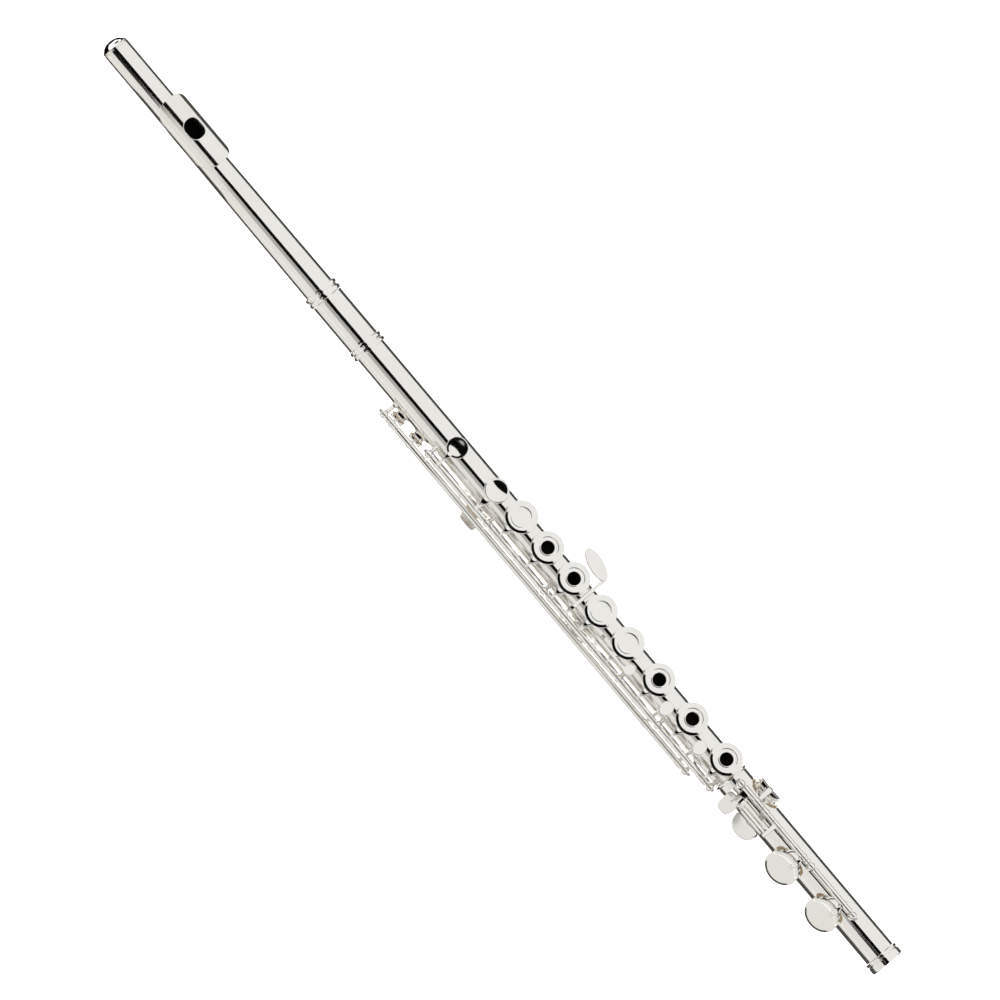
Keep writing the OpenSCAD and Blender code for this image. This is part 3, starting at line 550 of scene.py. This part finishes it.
# ---------------------------------------------------------------- keys
def hinge(p, x0, x1, rod, solid=False, collars=()):
    p.rod(x0, x1, 1.9, rod, ri=0 if solid else 1.03)
    # turned knuckle rings at the tube's ends and where an arm is soldered on
    for c in (x0 + 0.55, x1 - 0.55):
        p.lathe([(1.8, -0.45), (2.02, -0.3), (2.05, 0), (2.02, 0.3), (1.8, 0.45)], along_x(c, rod), 32, r=0)
    for c in collars:
        p.lathe([(1.8, -1.35), (2.15, -1.0), (2.3, -0.4), (2.3, 0.4), (2.15, 1.0), (1.8, 1.35)], along_x(c, rod), 32, r=0)
FR = 3.85
CUP, REAR_CUP = 9.4, 8.8
def cup(p, M, r, kind):
    ri = r - 0.5
    # straight skirt, a narrow rounded edge, a broad 15 degree shoulder, then the nearly flat top
    side = [(ri, 2.3), (ri, 0.62), (ri + 0.1, 0.47), (r - 0.1, 0.45), (r, 0.58), (r, 2.36), (r - 0.04, 2.5), (r - 0.13, 2.6), (r - 0.24, 2.645),
            (r - 0.32, 2.665), (r - 0.9, 2.82), (r - 1.42, 2.96), (r - 1.5, 2.98), (r - 1.7, 3.02), (r - 2.0, 3.045)]
    if kind == "open":
        prof = side + [(6.6, 3.07), (6.25, 3.07), (6.1, 3.04), (5.98, 2.96), (5.85, 2.92), (5.7, 2.92), (4.9, 2.9), (4.55, 2.92), (4.4, 2.98), (4.2, 3.0), (FR + 0.12, 2.96), (FR, 2.82),
                       (FR, 0.32), (FR + 0.12, 0.2), (FR + 0.38, 0.2), (FR + 0.42, 0.4), (FR + 0.42, 2.3)]
        p.lathe(prof, M, 96, r=0)
    elif kind == "dish":
        # a shallow bowl inside a fine turned ring
        bowl = [(q, 2.74 + q * q / 88.0) for q in (5.35, 5.0, 4.5, 4.0, 3.4, 2.7, 1.9, 1.0, 0)]
        prof = side + [(6.5, 3.08), (6.1, 3.1), (5.95, 3.14), (5.8, 3.15), (5.65, 3.13), (5.5, 3.09)] + bowl
        p.lathe([(0, 2.3)] + prof, M, 96, r=0, loop=False)
    else:
        prof = side + [(r - 2.4, 3.08), (r * 0.6, 3.16), (r * 0.3, 3.22), (0, 3.24)]
        p.lathe([(0, 2.3)] + prof, M, 96, r=0, loop=False)
def padp(p, M, r, kind="dish"):
    r1 = r - 0.6
    if kind == "open":
        r0 = FR + 0.47
        p.lathe([(r0, 2.3), (r0, 0.35), (r0 + 0.25, 0.12), (r0 + 0.8, 0.06), (r1 - 0.8, 0.06), (r1 - 0.25, 0.15), (r1, 0.42), (r1, 1.0), (r1, 2.3)], M, 80, M_PAD, r=0)
    else:
        p.lathe([(0, 0.07), (r1 * 0.5, 0.06), (r1 - 0.8, 0.06), (r1 - 0.25, 0.15), (r1, 0.42), (r1, 2.29), (0, 2.29)], M, 80, M_PAD, r=0, loop=False)
def small_cup(p, M, r):
    ri = r - 0.45
    p.lathe([(0, 1.8), (ri, 1.8), (ri, 0.5), (ri + 0.1, 0.41), (r - 0.1, 0.4), (r, 0.5), (r, 1.85), (r - 0.1, 2.15), (r - 0.35, 2.36),
             (r * 0.8, 2.42), (r * 0.74, 2.38), (r * 0.6, 2.25), (r * 0.45, 2.12), (r * 0.3, 2.02), (r * 0.15, 1.95), (0, 1.93)], M, 72, r=0, loop=False)
def small_pad(p, M, r):
    p.lathe([(0, 0.07), (r - 1.1, 0.06), (r - 0.7, 0.16), (r - 0.55, 0.4), (r - 0.55, 1.79), (0, 1.79)], M, 56, M_PAD, r=0, loop=False)
def french_arm(p, x, spread=3.6):
    """Pointed arm: broad and level where it leaves the cup, narrowing as it curves down to the hinge."""
    p.sweep([(-15.95, 8.3), (-15.75, 10.0), (-15.0, 11.6), (-13.6, 12.75), (-11.6, 13.5), (-9.2, 13.85)],
            [1.35, 0.75, 0.7, 0.95, 1.8, 3.0], [1.8, 1.5, 1.4, 1.3, 1.15, 0.9], x, power=2.3)
    for s_ in (-1, 1):
        pts = [(-14.6, 12.0), (-12.6, 13.2), (-10.8, 13.75), (-9.2, 14.0), (-8.3, 14.1)]
        X = [x + s_ * 0.35, x + s_ * 0.9, x + s_ * 1.9, x + s_ * 2.9, x + s_ * spread]
        Xs = []
        for i in range(4):
            for k in range(5): Xs.append(X[i] * (1 - k / 5) + X[i + 1] * k / 5)
        Xs.append(X[-1])
        p.sweep(pts, [0.5, 0.55, 0.6, 0.6, 0.35], [1.2, 1.2, 1.15, 1.0, 0.6], Xs)
def main_key(name, body, node, x, x0, x1, kind):
    p = Piece(name, body, node); p.base = swung(MAIN, OPEN)
    hinge(p, x0, x1, MAIN, collars=(x,))
    french_arm(p, x)
    cup(p, hole(x, 0), CUP, kind)
    p.make()
def pad_piece(name, body, node, base, items, felt=False):
    p = Piece(name, body, node, slot="pad_skin"); p.base = base
    for fn in items: fn(p)
    p.make()
SW = swung(MAIN, OPEN)
main_key("b_flat_key_metal", "b_flat_key", "b_flat_key", 280.7, 273.7, 294.8, "dish")
main_key("a_key_metal", "a_key", "a_key", 303.0, 295.1, 317.4, "open")
main_key("f_sharp_key_metal", "f_sharp_key", "f_sharp_key", 372.0, 363.9, 381.2, "dish")
main_key("f_key_metal", "f_key", "f_key", 398.5, 386.0, 414.7, "open")
main_key("e_key_metal", "e_key", "e_key", 426.9, 419.5, 435.5, "open")
main_key("d_key_metal", "d_key", "d_key", 456.1, 435.8, 459.6, "open")
g = Piece("g_keys_metal", "g_keys", "g_keys"); g.base = SW
hinge(g, 322.4, 334.1, MAIN, collars=(325.4,)); hinge(g, 339.4, 357.6, MAIN, collars=(348.8,))
for x, k in ((325.4, "open"), (348.8, "dish")):
    french_arm(g, x); cup(g, hole(x, 0), CUP, k)
g.make()
for nm, x, k in (("b_flat", 280.7, "dish"), ("a", 303.0, "open"), ("f_sharp", 372.0, "dish"), ("f", 398.5, "open"), ("e", 426.9, "open"), ("d", 456.1, "open")):
    pad_piece(nm + "_key_pad_skin", nm + "_key", nm + "_pad", SW, [lambda p, x=x, k=k: padp(p, hole(x, 0), CUP, k)])
pad_piece("g_keys_pad_skin", "g_keys", "g_pads", SW, [lambda p: padp(p, hole(325.4, 0), CUP, "open"), lambda p: padp(p, hole(348.8, 0), CUP)])

# C key: small cup, and the index finger's touch on the same tube
c = Piece("c_key_metal", "c_key", "c_key"); c.base = SW
hinge(c, 223.6, 268.7, MAIN, collars=(228.6, 260.8))
c.sweep([(-16.0, 8.3), (-15.0, 10.0), (-12.4, 11.9), (-9.4, 13.0), (-7.2, 13.2)], [1.3, 0.9, 0.9, 1.1, 1.5], [1.8, 1.5, 1.4, 1.2, 0.9], 228.6)
small_cup(c, hole(228.6, -10), 6.25)
c.sweep([(-16.0, 8.3), (-15.2, 9.6), (-12.9, 11.3), (-9.8, 12.3), (-5, 12.7)], [1.5, 1.1, 1.2, 1.9, 2.4], [1.8, 1.6, 1.4, 1.2, 0.9], 260.8)
c.lathe([(0, 12.1), (6.6, 12.1), (7.05, 12.3), (7.2, 12.65), (7.2, 13.1), (7.05, 13.5), (6.75, 13.78), (6.35, 13.9), (5.95, 13.88), (5.65, 13.78), (5.3, 13.68), (4.6, 13.49),
         (3.8, 13.29), (3.0, 13.12), (2.2, 12.98), (1.4, 12.87), (0.7, 12.82), (0, 12.8)], T(260.8, -1, 0), 96, r=0, loop=False)
c.make()
pad_piece("c_key_pad_skin", "c_key", "c_key_pad", SW, [lambda p: small_pad(p, hole(228.6, -10), 6.25)])

# G sharp: arm over the tube, leaf touch on the far side, arm down to the cup at the back
gs = Piece("g_sharp_key_metal", "g_sharp_key", "g_sharp_key")
hinge(gs, 334.4, 339.1, MAIN, collars=(337.0,))
gs.sweep([(-16.0, 8.3), (-15.0, 10.0), (-11.8, 12.2), (-8, 13.05), (0, 13.15), (7.5, 12.95), (10.5, 12.75), (13.2, 12.5)],
         [1.4, 1.15, 1.15, 1.15, 1.15, 1.15, 1.25, 1.3], [1.7, 1.5, 1.35, 1.25, 1.2, 1.2, 1.1, 1.0], 337.0)
leaf = []
for i in range(48):
    t = 2 * math.pi * i / 48; a, b = 10.6 * math.cos(t), 4.75 * math.sin(t)
    c12, s12 = math.cos(math.radians(12)), math.sin(math.radians(12))
    leaf.append((327.6 + a * c12 + b * s12, 15.65 - a * s12 + b * c12))
gs.puck(leaf, (327.6, 15.65), lambda x, y: 13.45 - 0.012 * max(0, y - 10) ** 2, 1.1, crown=0.12, edge=0.55)
gs.sweep([(-15.9, 5.6), (-13.9, 3.6), (-13.3, 0), (-13.1, -4), (-13.3, -7.6)], [1.3, 1.2, 1.2, 1.3, 1.4], [1.7, 1.5, 1.4, 1.3, 1.2], 337.0)
MG = hole(348.8, -124)
gs.sweep([(0, 3.75), (0, 3.75)], [1, 1], [1, 1], 0) if False else None
gs.grid([[(x, y, z) for y, z in fillet([(1.5, 3.05), (1.5, 4.25), (-1.5, 4.25), (-1.5, 3.05)], 0.35, 3)] for x in (-13.2, -12.9, 0.4, 0.8)], M=MG)
cup(gs, MG, 8.8, "closed")
gs.make()
pad_piece("g_sharp_pad_skin", "g_sharp_key", "g_sharp_pad", I4, [lambda p: padp(p, MG, 8.8)])

# trill keys
def trill_cup(p, x):
    M = hole(x, -115)
    small_cup(p, M, 5.5)
    p.sweep([(8.2, 4.1), (6.6, 4.0), (4.2, 3.35), (1.5, 2.95), (-3.2, 2.85)], [1.2, 1.1, 1.15, 1.1, 0.7], [1.6, 1.5, 1.1, 0.9, 0.6], 0, M=M)
def trill_touch(p, x):
    p.sweep([(-17.6, 1.6), (-15.2, 2.3), (-12.8, 3.7), (-11.6, 6.8), (-11.3, 11.0), (-10.6, 13.4), (-8.8, 14.7)],
            [1.2, 1.15, 1.15, 1.15, 1.3, 1.8, 2.4], [1.7, 1.4, 1.4, 1.3, 1.3, 1.3, 1.0], [x - 1.7 + 1.5 * (i / 30) ** 2 for i in range(31)])
    o = smooth_loop([(x - 0.6, -13.4), (x + 1.6, -13.0), (x + 3.3, -10.6), (x + 3.75, -7.9), (x + 3.0, -5.4), (x + 0.9, -3.9), (x - 1.6, -4.2),
                     (x - 3.4, -6.2), (x - 3.7, -8.8), (x - 2.7, -11.7)], 8)
    p.puck(o, (x, -8.4), lambda a, b: 15.7 - 0.012 * (b + 8.4) ** 2 - 0.012 * (a - x) ** 2, 1.15, crown=0.15, edge=0.42)
td = Piece("trill_d_key_metal", "trill_d_key", "trill_d_key")
hinge(td, 199.2, 436.8, TRILL, collars=(210.2, 411.5)); trill_cup(td, 210.2); trill_touch(td, 413.2); td.make()
ts = Piece("trill_d_sharp_key_metal", "trill_d_sharp_key", "trill_d_sharp_key")
ts.rod(186.9, 447.7, 1.0, TRILL, M_STEEL, 32)
hinge(ts, 190.7, 198.9, TRILL, True, (194.8,)); hinge(ts, 437.1, 443.9, TRILL, True, (439.9,))
trill_cup(ts, 194.8); trill_touch(ts, 441.6); ts.make()
pad_piece("trill_d_pad_skin", "trill_d_key", "trill_d_pad", I4, [lambda p: small_pad(p, hole(210.2, -115), 5.5)])
pad_piece("trill_d_sharp_pad_skin", "trill_d_sharp_key", "trill_d_sharp_pad", I4, [lambda p: small_pad(p, hole(194.8, -115), 5.5)])

# side B flat lever
sb = Piece("side_b_flat_metal", "side_b_flat_lever", "side_b_flat_lever")
hinge(sb, 358.0, 363.5, MAIN, collars=(360.5,))
sb.sweep([(-16.0, 8.3), (-15.0, 10.5), (-13.7, 14), (-13.3, 17.0)], [1.4, 1.2, 1.2, 1.4], [1.7, 1.5, 1.3, 1.3], 360.5)
o = smooth_loop([(359.2, -14.2), (366, -14.15), (374, -14.1), (380.6, -14.3), (382.5, -14.9), (385.4, -14.3), (386.6, -11.5), (385.8, -8.6), (383.7, -7.6), (381.7, -8.8),
                 (381.0, -11.4), (379.6, -12.35), (374, -12.45), (366, -12.4), (359.4, -12.4)], 5)
# a flat plate: bar along the rod and a rounded touch
ring_n = len(o)
def plate(p, outline, z0, z1, M=I4, e=0.3):
    C = Vector((sum(q[0] for q in outline) / len(outline), sum(q[1] for q in outline) / len(outline)))
    P = [Vector(q) for q in outline]; N = len(P); nrm = []
    area = sum(P[i].x * P[(i + 1) % N].y - P[(i + 1) % N].x * P[i].y for i in range(N))
    for i in range(N):
        d = (P[(i + 1) % N] - P[i - 1]).normalized(); n_ = Vector((d.y, -d.x)); nrm.append(n_ if area > 0 else -n_)
    rings = []
    for k in range(4):
        a = pi / 2 * k / 3; rings.append([(q.x - m.x * e * (1 - math.cos(a) * 0 - math.sin(a)), q.y - m.y * e * (1 - math.sin(a)), z0 + e * (1 - math.cos(a))) for q, m in zip(P, nrm)])
    for k in range(4):
        a = pi / 2 * k / 3; rings.append([(q.x - m.x * e * (1 - math.cos(a)), q.y - m.y * e * (1 - math.cos(a)), z1 - e * (1 - math.sin(a))) for q, m in zip(P, nrm)])
    p.grid(rings, M=M)
plate(sb, o, 16.5, 17.7)
sb.make()

# thumb keys under the tube
TB = swung(THUMB, TOPEN)
def thumb_arm(p, x, w=1.5, q=0):
    p.sweep([(-11.6, 3.6), (-9.6, 3.9), (0, 3.75), (8.8 - q, 3.6), (10.6 - q, 3.1), (11.9 - q, 2.6)], [w, w * .9, w, w * 1.1, w * 1.3, w * 1.4], [1.6, 1.5, 1.2, 1.2, 1.1, 1.0], 0, M=hole(x, -165))
tb = Piece("thumb_b_metal", "thumb_b_key", "thumb_b_key"); tb.base = TB
hinge(tb, 256.5, 277, THUMB, collars=(260.8,)); cup(tb, hole(260.8, -165), 8.8, "closed"); thumb_arm(tb, 260.8)
tb.puck(smooth_loop([(-3.0, 10.8), (2.5, 10.6), (7.8, 10.9), (8.5, 12.6), (7.7, 14.6), (2.5, 15.0), (-2.4, 14.5), (-3.2, 12.6)], 7), (2.6, 12.7), lambda x, y: 2.3 - 0.01 * (y - 12) ** 2, 1.2, M=hole(260.8, -165), crown=0.1, edge=0.4)
tb.make()
pad_piece("thumb_b_pad_skin", "thumb_b_key", "thumb_b_pad", TB, [lambda p: padp(p, hole(260.8, -165), 8.8)])
tl = Piece("thumb_b_flat_metal", "thumb_b_flat_lever", "thumb_b_flat_lever"); tl.base = TB
hinge(tl, 245.4, 256.2, THUMB, collars=(249.5,)); thumb_arm(tl, 249.5, q=3)
tl.puck(smooth_loop([(-3.2, 7.9), (0.8, 7.7), (4.6, 7.9), (4.9, 9.5), (4.5, 11.0), (0.8, 11.3), (-3.0, 11.0), (-3.3, 9.5)], 7), (0.8, 9.5), lambda x, y: 2.3 - 0.01 * (y - 12) ** 2, 1.2, M=hole(250, -165), crown=0.1, edge=0.4)
tl.make()

# ---------------------------------------------------------------- foot keys
FB = swung(FOOT, -FOPEN)
def near_arm(p, x):
    """Arm from the foot rod down to a near-side cup, in the cup's own frame."""
    p.sweep([(14.0, -0.5), (13.0, 0.6), (11.8, 1.9), (10.6, 2.75), (8.6, 3.25), (5.0, 3.35)], [1.4, 1.05, 1.15, 1.6, 1.5, 0.4], [1.7, 1.5, 1.3, 1.1, 0.9, 0.5], 0, M=T(x) @ R(66.5) @ T(0, 0, RIM))
d = Piece("d_sharp_key_metal", "d_sharp_key", "d_sharp_key")
hinge(d, 474.1, 489.6, FOOT, collars=(484.6,)); cup(d, hole(484.6, 59.5), 10.45, "closed")
d.sweep([(-16.0, -5.4), (-14.2, -3.6), (-12.4, -0.6), (-11.2, 1.8), (-9.4, 3.1), (-5.5, 3.35)], [1.4, 1.1, 1.15, 1.6, 1.5, 0.4], [1.7, 1.5, 1.3, 1.1, 0.9, 0.5], 0, M=hole(484.6, 59.5))
d.sweep([(-5.1, 16.4), (-8.0, 15.35), (-10.5, 14.0), (-13.5, 12.2)], [2.6, 2.2, 2.6, 4.0], [1.6, 1.4, 1.3, 1.0], 477.2)
o = smooth_loop([(471.0, -10.6), (474.5, -9.7), (478.5, -9.8), (480.3, -11.2), (480.5, -14), (480.2, -17.6), (478.6, -19.2), (474.5, -19.5), (471.6, -18.6), (470.8, -15)], 7)
d.puck(o, (475.7, -14.5), lambda x, y: 14.8 - 0.50 * (-y - 10) - 0.035 * max(0, -y - 10) ** 2, 1.2, crown=0.1, edge=0.42)
d.make()
pad_piece("d_sharp_pad_skin", "d_sharp_key", "d_sharp_pad", I4, [lambda p: padp(p, hole(484.6, 59.5), 10.45)])
cs = Piece("c_sharp_key_metal", "c_sharp_key", "c_sharp_key"); cs.base = FB
hinge(cs, 489.9, 498.6, FOOT, collars=(493.0,)); hinge(cs, 504.4, 526.8, FOOT, collars=(524.7,))
sec2 = fillet([(-4.7, 12.6), (-2.7, 12.6), (-2.7, 13.9), (-4.7, 13.9)], 0.3, 3)
cs.grid([[(x, y, z) for y, z in sec2] for x in (493.0, 493.3, 509.7, 510)])
for a, b in ((493.2, 498.4), (504.6, 509.8)):
    s3 = fillet([(-4.6, 13.6), (-2.8, 13.6), (-2.8, 15.2), (-4.6, 15.2)], 0.2, 2)
    cs.grid([[(x, y, z) for y, z in s3] for x in (a, b)])
cup(cs, hole(521.8, -66.5), 10.45, "closed"); near_arm(cs, 524.7)
cs.sweep([(-4.9, 15.5), (-6.6, 13.4), (-8.8, 11.4), (-13.1, 9.2)], [1.9, 1.7, 1.9, 3.0], [1.5, 1.3, 1.2, 1.0], 493)
o = smooth_loop([(482.6, -13.2), (485, -12.75), (491, -12.7), (497, -12.75), (499.3, -13.3), (499.5, -15), (498, -17.8), (494.8, -19.4), (491, -19.9), (487.2, -19.4), (484, -17.8), (482.5, -15)], 7)
cs.puck(o, (491, -15.8), lambda x, y: 9.95 - 0.78 * (-y - 13), 1.15, crown=0.1, edge=0.4)
cs.make()
pad_piece("c_sharp_pad_skin", "c_sharp_key", "c_sharp_pad", FB, [lambda p: padp(p, hole(521.8, -66.5), 10.45)])
lc = Piece("low_c_key_metal", "low_c_key", "low_c_key"); lc.base = FB
lc.rod(470.2, 568.4, 1.0, FOOT, M_STEEL, 32)
hinge(lc, 498.9, 504.1, FOOT, True); hinge(lc, 527.1, 529.0, FOOT, True); hinge(lc, 533.9, 564.5, FOOT, True, (559.0,))
cup(lc, hole(555.8, -66.5), 10.45, "closed"); near_arm(lc, 559.0)
lc.sweep([(-4.9, 17.0), (-7.5, 16.2), (-10.5, 15.2), (-14.2, 14.5)], [1.6, 1.3, 1.3, 1.2], [1.8, 2.0, 2.4, 2.6], 501.3)
lc.sweep([(-9.3, 14.9), (-11, 14.9), (-13, 14.6), (-14.4, 14.5)], [0.6, 0.6, 0.6, 0.6], [1.8, 2.4, 2.8, 2.2], 481.8)
sec3 = fillet([(-10.2, 13.7), (-9, 13.7), (-9, 15.8), (-10.2, 15.8)], 0.35, 3)
lc.grid([[(x, y, z) for y, z in sec3] for x in (481.2, 481.5, 502.3, 502.6)])
lc.rod(481.2, 502.6, 0.6, (-12.6, 14.6), M_STEEL, 20)
lc.make()
pad_piece("low_c_pad_skin", "low_c_key", "low_c_pad", FB, [lambda p: padp(p, hole(555.8, -66.5), 10.45)])
ro_ = Piece("low_c_roller_barrel", "low_c_roller", "low_c_roller"); ro_.base = FB
ro_.lathe([(0.63, 482.7), (1.6, 482.7), (1.85, 482.95), (1.98, 484), (2.0, 491.2), (1.98, 498.4), (1.85, 499.45), (1.6, 499.7), (0.63, 499.7)], T(0, -12.6, 14.6) @ R(90, "Y"), 48, r=0)
ro_.make()

# ---------------------------------------------------------------- stage, lights, camera
def emit(name, color, strength):
    m = bpy.data.materials.new(name); m.use_nodes = True; nt = m.node_tree; nt.nodes.clear()
    e = nt.nodes.new("ShaderNodeEmission"); e.inputs["Color"].default_value = (*color, 1); e.inputs["Strength"].default_value = strength
    out = nt.nodes.new("ShaderNodeOutputMaterial"); nt.links.new(e.outputs[0], out.inputs[0])
    return m
def quad(name, pts, mat, hidden=True):
    me = bpy.data.meshes.new(name); me.from_pydata(pts, [], [tuple(range(len(pts)))]); me.materials.append(mat)
    o = bpy.data.objects.new(name, me); bpy.context.scene.collection.objects.link(o)
    if hidden:
        o.visible_camera = False; o.visible_shadow = False; o.visible_diffuse = False; o.visible_transmission = False
    return o
FLOOR_Z = -0.0215
fm, nt, b = new_mat("floor_paper")
b.inputs["Base Color"].default_value = (0.9, 0.9, 0.9, 1); b.inputs["Roughness"].default_value = 0.9
b.inputs["Emission Color"].default_value = (1, 1, 1, 1); b.inputs["Emission Strength"].default_value = 0.75
floor = quad("floor", [(-4, -4, FLOOR_Z), (4, -4, FLOOR_Z), (4, 4, FLOOR_Z), (-4, 4, FLOOR_Z)], fm, hidden=False)

CA = math.radians(-20.5)                     # camera's angle about the tube, from +Z towards +Y
C = Vector((0, math.sin(CA), math.cos(CA)))
U = Vector((0, math.cos(CA), -math.sin(CA)))  # towards the far side, across the view
def at_angle(deg, dist): a = math.radians(deg); return Vector((0, math.sin(a) * dist, math.cos(a) * dist))
black = emit("flag_black", (0, 0, 0), 0.0)
grey = emit("flag_grey", (0.43, 0.43, 0.41), 1.0)
dim = emit("flag_dim", (0.07, 0.07, 0.065), 1.0)
warm = emit("card_warm", (0.80, 0.79, 0.765), 1.0)
# dark flags over the lens give the dark line along the middle of the tube, with a grey shoulder below it
D, XC, XH = 0.9, -0.334, 0.367
def band(name, pts, mat):
    """pts: (t, upper offset, lower offset), t = -1 at the crown, 1 at the foot."""
    q = [C * D + Vector((XC + XH * t, 0, 0)) + U * a for t, a, b in pts] + [C * D + Vector((XC + XH * t, 0, 0)) + U * b for t, a, b in reversed(pts)]
    quad(name, [tuple(v) for v in q], mat)
band("flag_lens", [(-16, 0.123, -0.231), (-1.0, 0.123, -0.231), (-0.75, 0.13, -0.205), (0.0, 0.143, -0.173), (0.75, 0.19, -0.125), (1.0, 0.214, -0.11), (16, 0.214, -0.11)], black)
band("flag_lens_crown", [(-16, -0.231, -0.664), (-0.865, -0.21, -0.63)], black)
band("flag_lens_mid", [(-0.70, -0.20, -0.60), (0.0, -0.173, -0.503), (0.61, -0.137, -0.42)], grey)
band("flag_lens_foot", [(0.90, -0.12, -0.385), (16, -0.11, -0.36)], black)
# painted contact shade: a dark strip on the paper under the near side, seen only in reflections, gives the dark line
# along the near edge of the tube; and a dark band at the far horizon
fz = FLOOR_Z + 0.001
quad("painted_contact_shade_near", [(-1.4, -0.055, fz), (-0.642, -0.052, fz), (-0.634, -0.085, fz), (-0.566, -0.085, fz), (-0.558, -0.049, fz), (-0.33, -0.041, fz), (-0.15, -0.041, fz), (-0.11, -0.068, fz), (0.7, -0.068, fz), (0.7, -0.0205, fz), (0.0, -0.0205, fz), (-0.33, -0.0222, fz), (-0.52, -0.026, fz), (-0.72, -0.031, fz), (-1.4, -0.033, fz)], dim)
quad("flag_end", [(-0.725, -0.03, fz), (-0.671, -0.03, fz), (-0.671, 0.045, fz), (-0.725, 0.045, fz)], black)
quad("flag_far", [(-1.2, 0.064, fz), (0.6, 0.064, fz), (0.6, 0.6, fz), (-1.2, 0.6, fz)], dim)
quad("flag_horizon", [(-1.6, 0.6, FLOOR_Z), (1.0, 0.6, FLOOR_Z), (1.0, 0.6, 0.075), (-1.6, 0.6, 0.075)], dim)
quad("card_near", [(-1.2, -1.2, FLOOR_Z + 0.0005), (0.6, -1.2, FLOOR_Z + 0.0005), (0.6, -0.04, FLOOR_Z + 0.0005), (-1.2, -0.04, FLOOR_Z + 0.0005)], warm)

w = bpy.data.worlds.new("studio"); bpy.context.scene.world = w; w.use_nodes = True
nt = w.node_tree; bg = nt.nodes["Background"]
co = nt.nodes.new("ShaderNodeTexCoord"); sx = nt.nodes.new("ShaderNodeSeparateXYZ")
nt.links.new(co.outputs["Generated"], sx.inputs[0])
rmp = nt.nodes.new("ShaderNodeValToRGB")
mr = nt.nodes.new("ShaderNodeMapRange"); mr.inputs["From Min"].default_value = -1; mr.inputs["From Max"].default_value = 1
nt.links.new(sx.outputs["Y"], mr.inputs["Value"]); nt.links.new(mr.outputs["Result"], rmp.inputs["Fac"])
e = rmp.color_ramp.elements
e[0].position = 0.10; e[0].color = (0.80, 0.79, 0.765, 1)
e[1].position = 0.42; e[1].color = (0.865, 0.865, 0.85, 1)
nt.links.new(rmp.outputs["Color"], bg.inputs["Color"]); bg.inputs["Strength"].default_value = 1.0

sun = bpy.data.lights.new("soft_key", "AREA"); sun.shape = "RECTANGLE"; sun.size = 1.2; sun.size_y = 0.8; sun.energy = 6
so = bpy.data.objects.new("soft_key", sun); bpy.context.scene.collection.objects.link(so)
so.visible_glossy = False
so.location = (-0.5, 0.9, 1.3); so.rotation_euler = (Vector((-0.33, 0, 0)) - so.location).to_track_quat("-Z", "Y").to_euler()

cam = bpy.data.cameras.new("camera"); co_ = bpy.data.objects.new("camera", cam)
bpy.context.scene.collection.objects.link(co_); bpy.context.scene.camera = co_
cam.lens = 600; cam.sensor_width = 36; cam.clip_start = 0.1; cam.clip_end = 60
SCALE = 0.5535                                # mm across one of a thousand parts of the frame
dist = 1000 * SCALE * 0.001 * cam.lens / cam.sensor_width
ux, uy = 0.645071, 0.764122
right = Vector((1, 0, 0)) * ux + U * uy
upv = Vector((-1, 0, 0)) * uy + U * ux
aim = Vector(((265.85 - FE) * 0.001, 0, 0)) + U * 0.00144
co_.matrix_world = Matrix((( right.x, upv.x, C.x, 0), (right.y, upv.y, C.y, 0), (right.z, upv.z, C.z, 0), (0, 0, 0, 1)))
co_.matrix_world.translation = aim + C * dist
sc = bpy.context.scene
sc.view_settings.view_transform = "Standard"; sc.view_settings.look = "None"
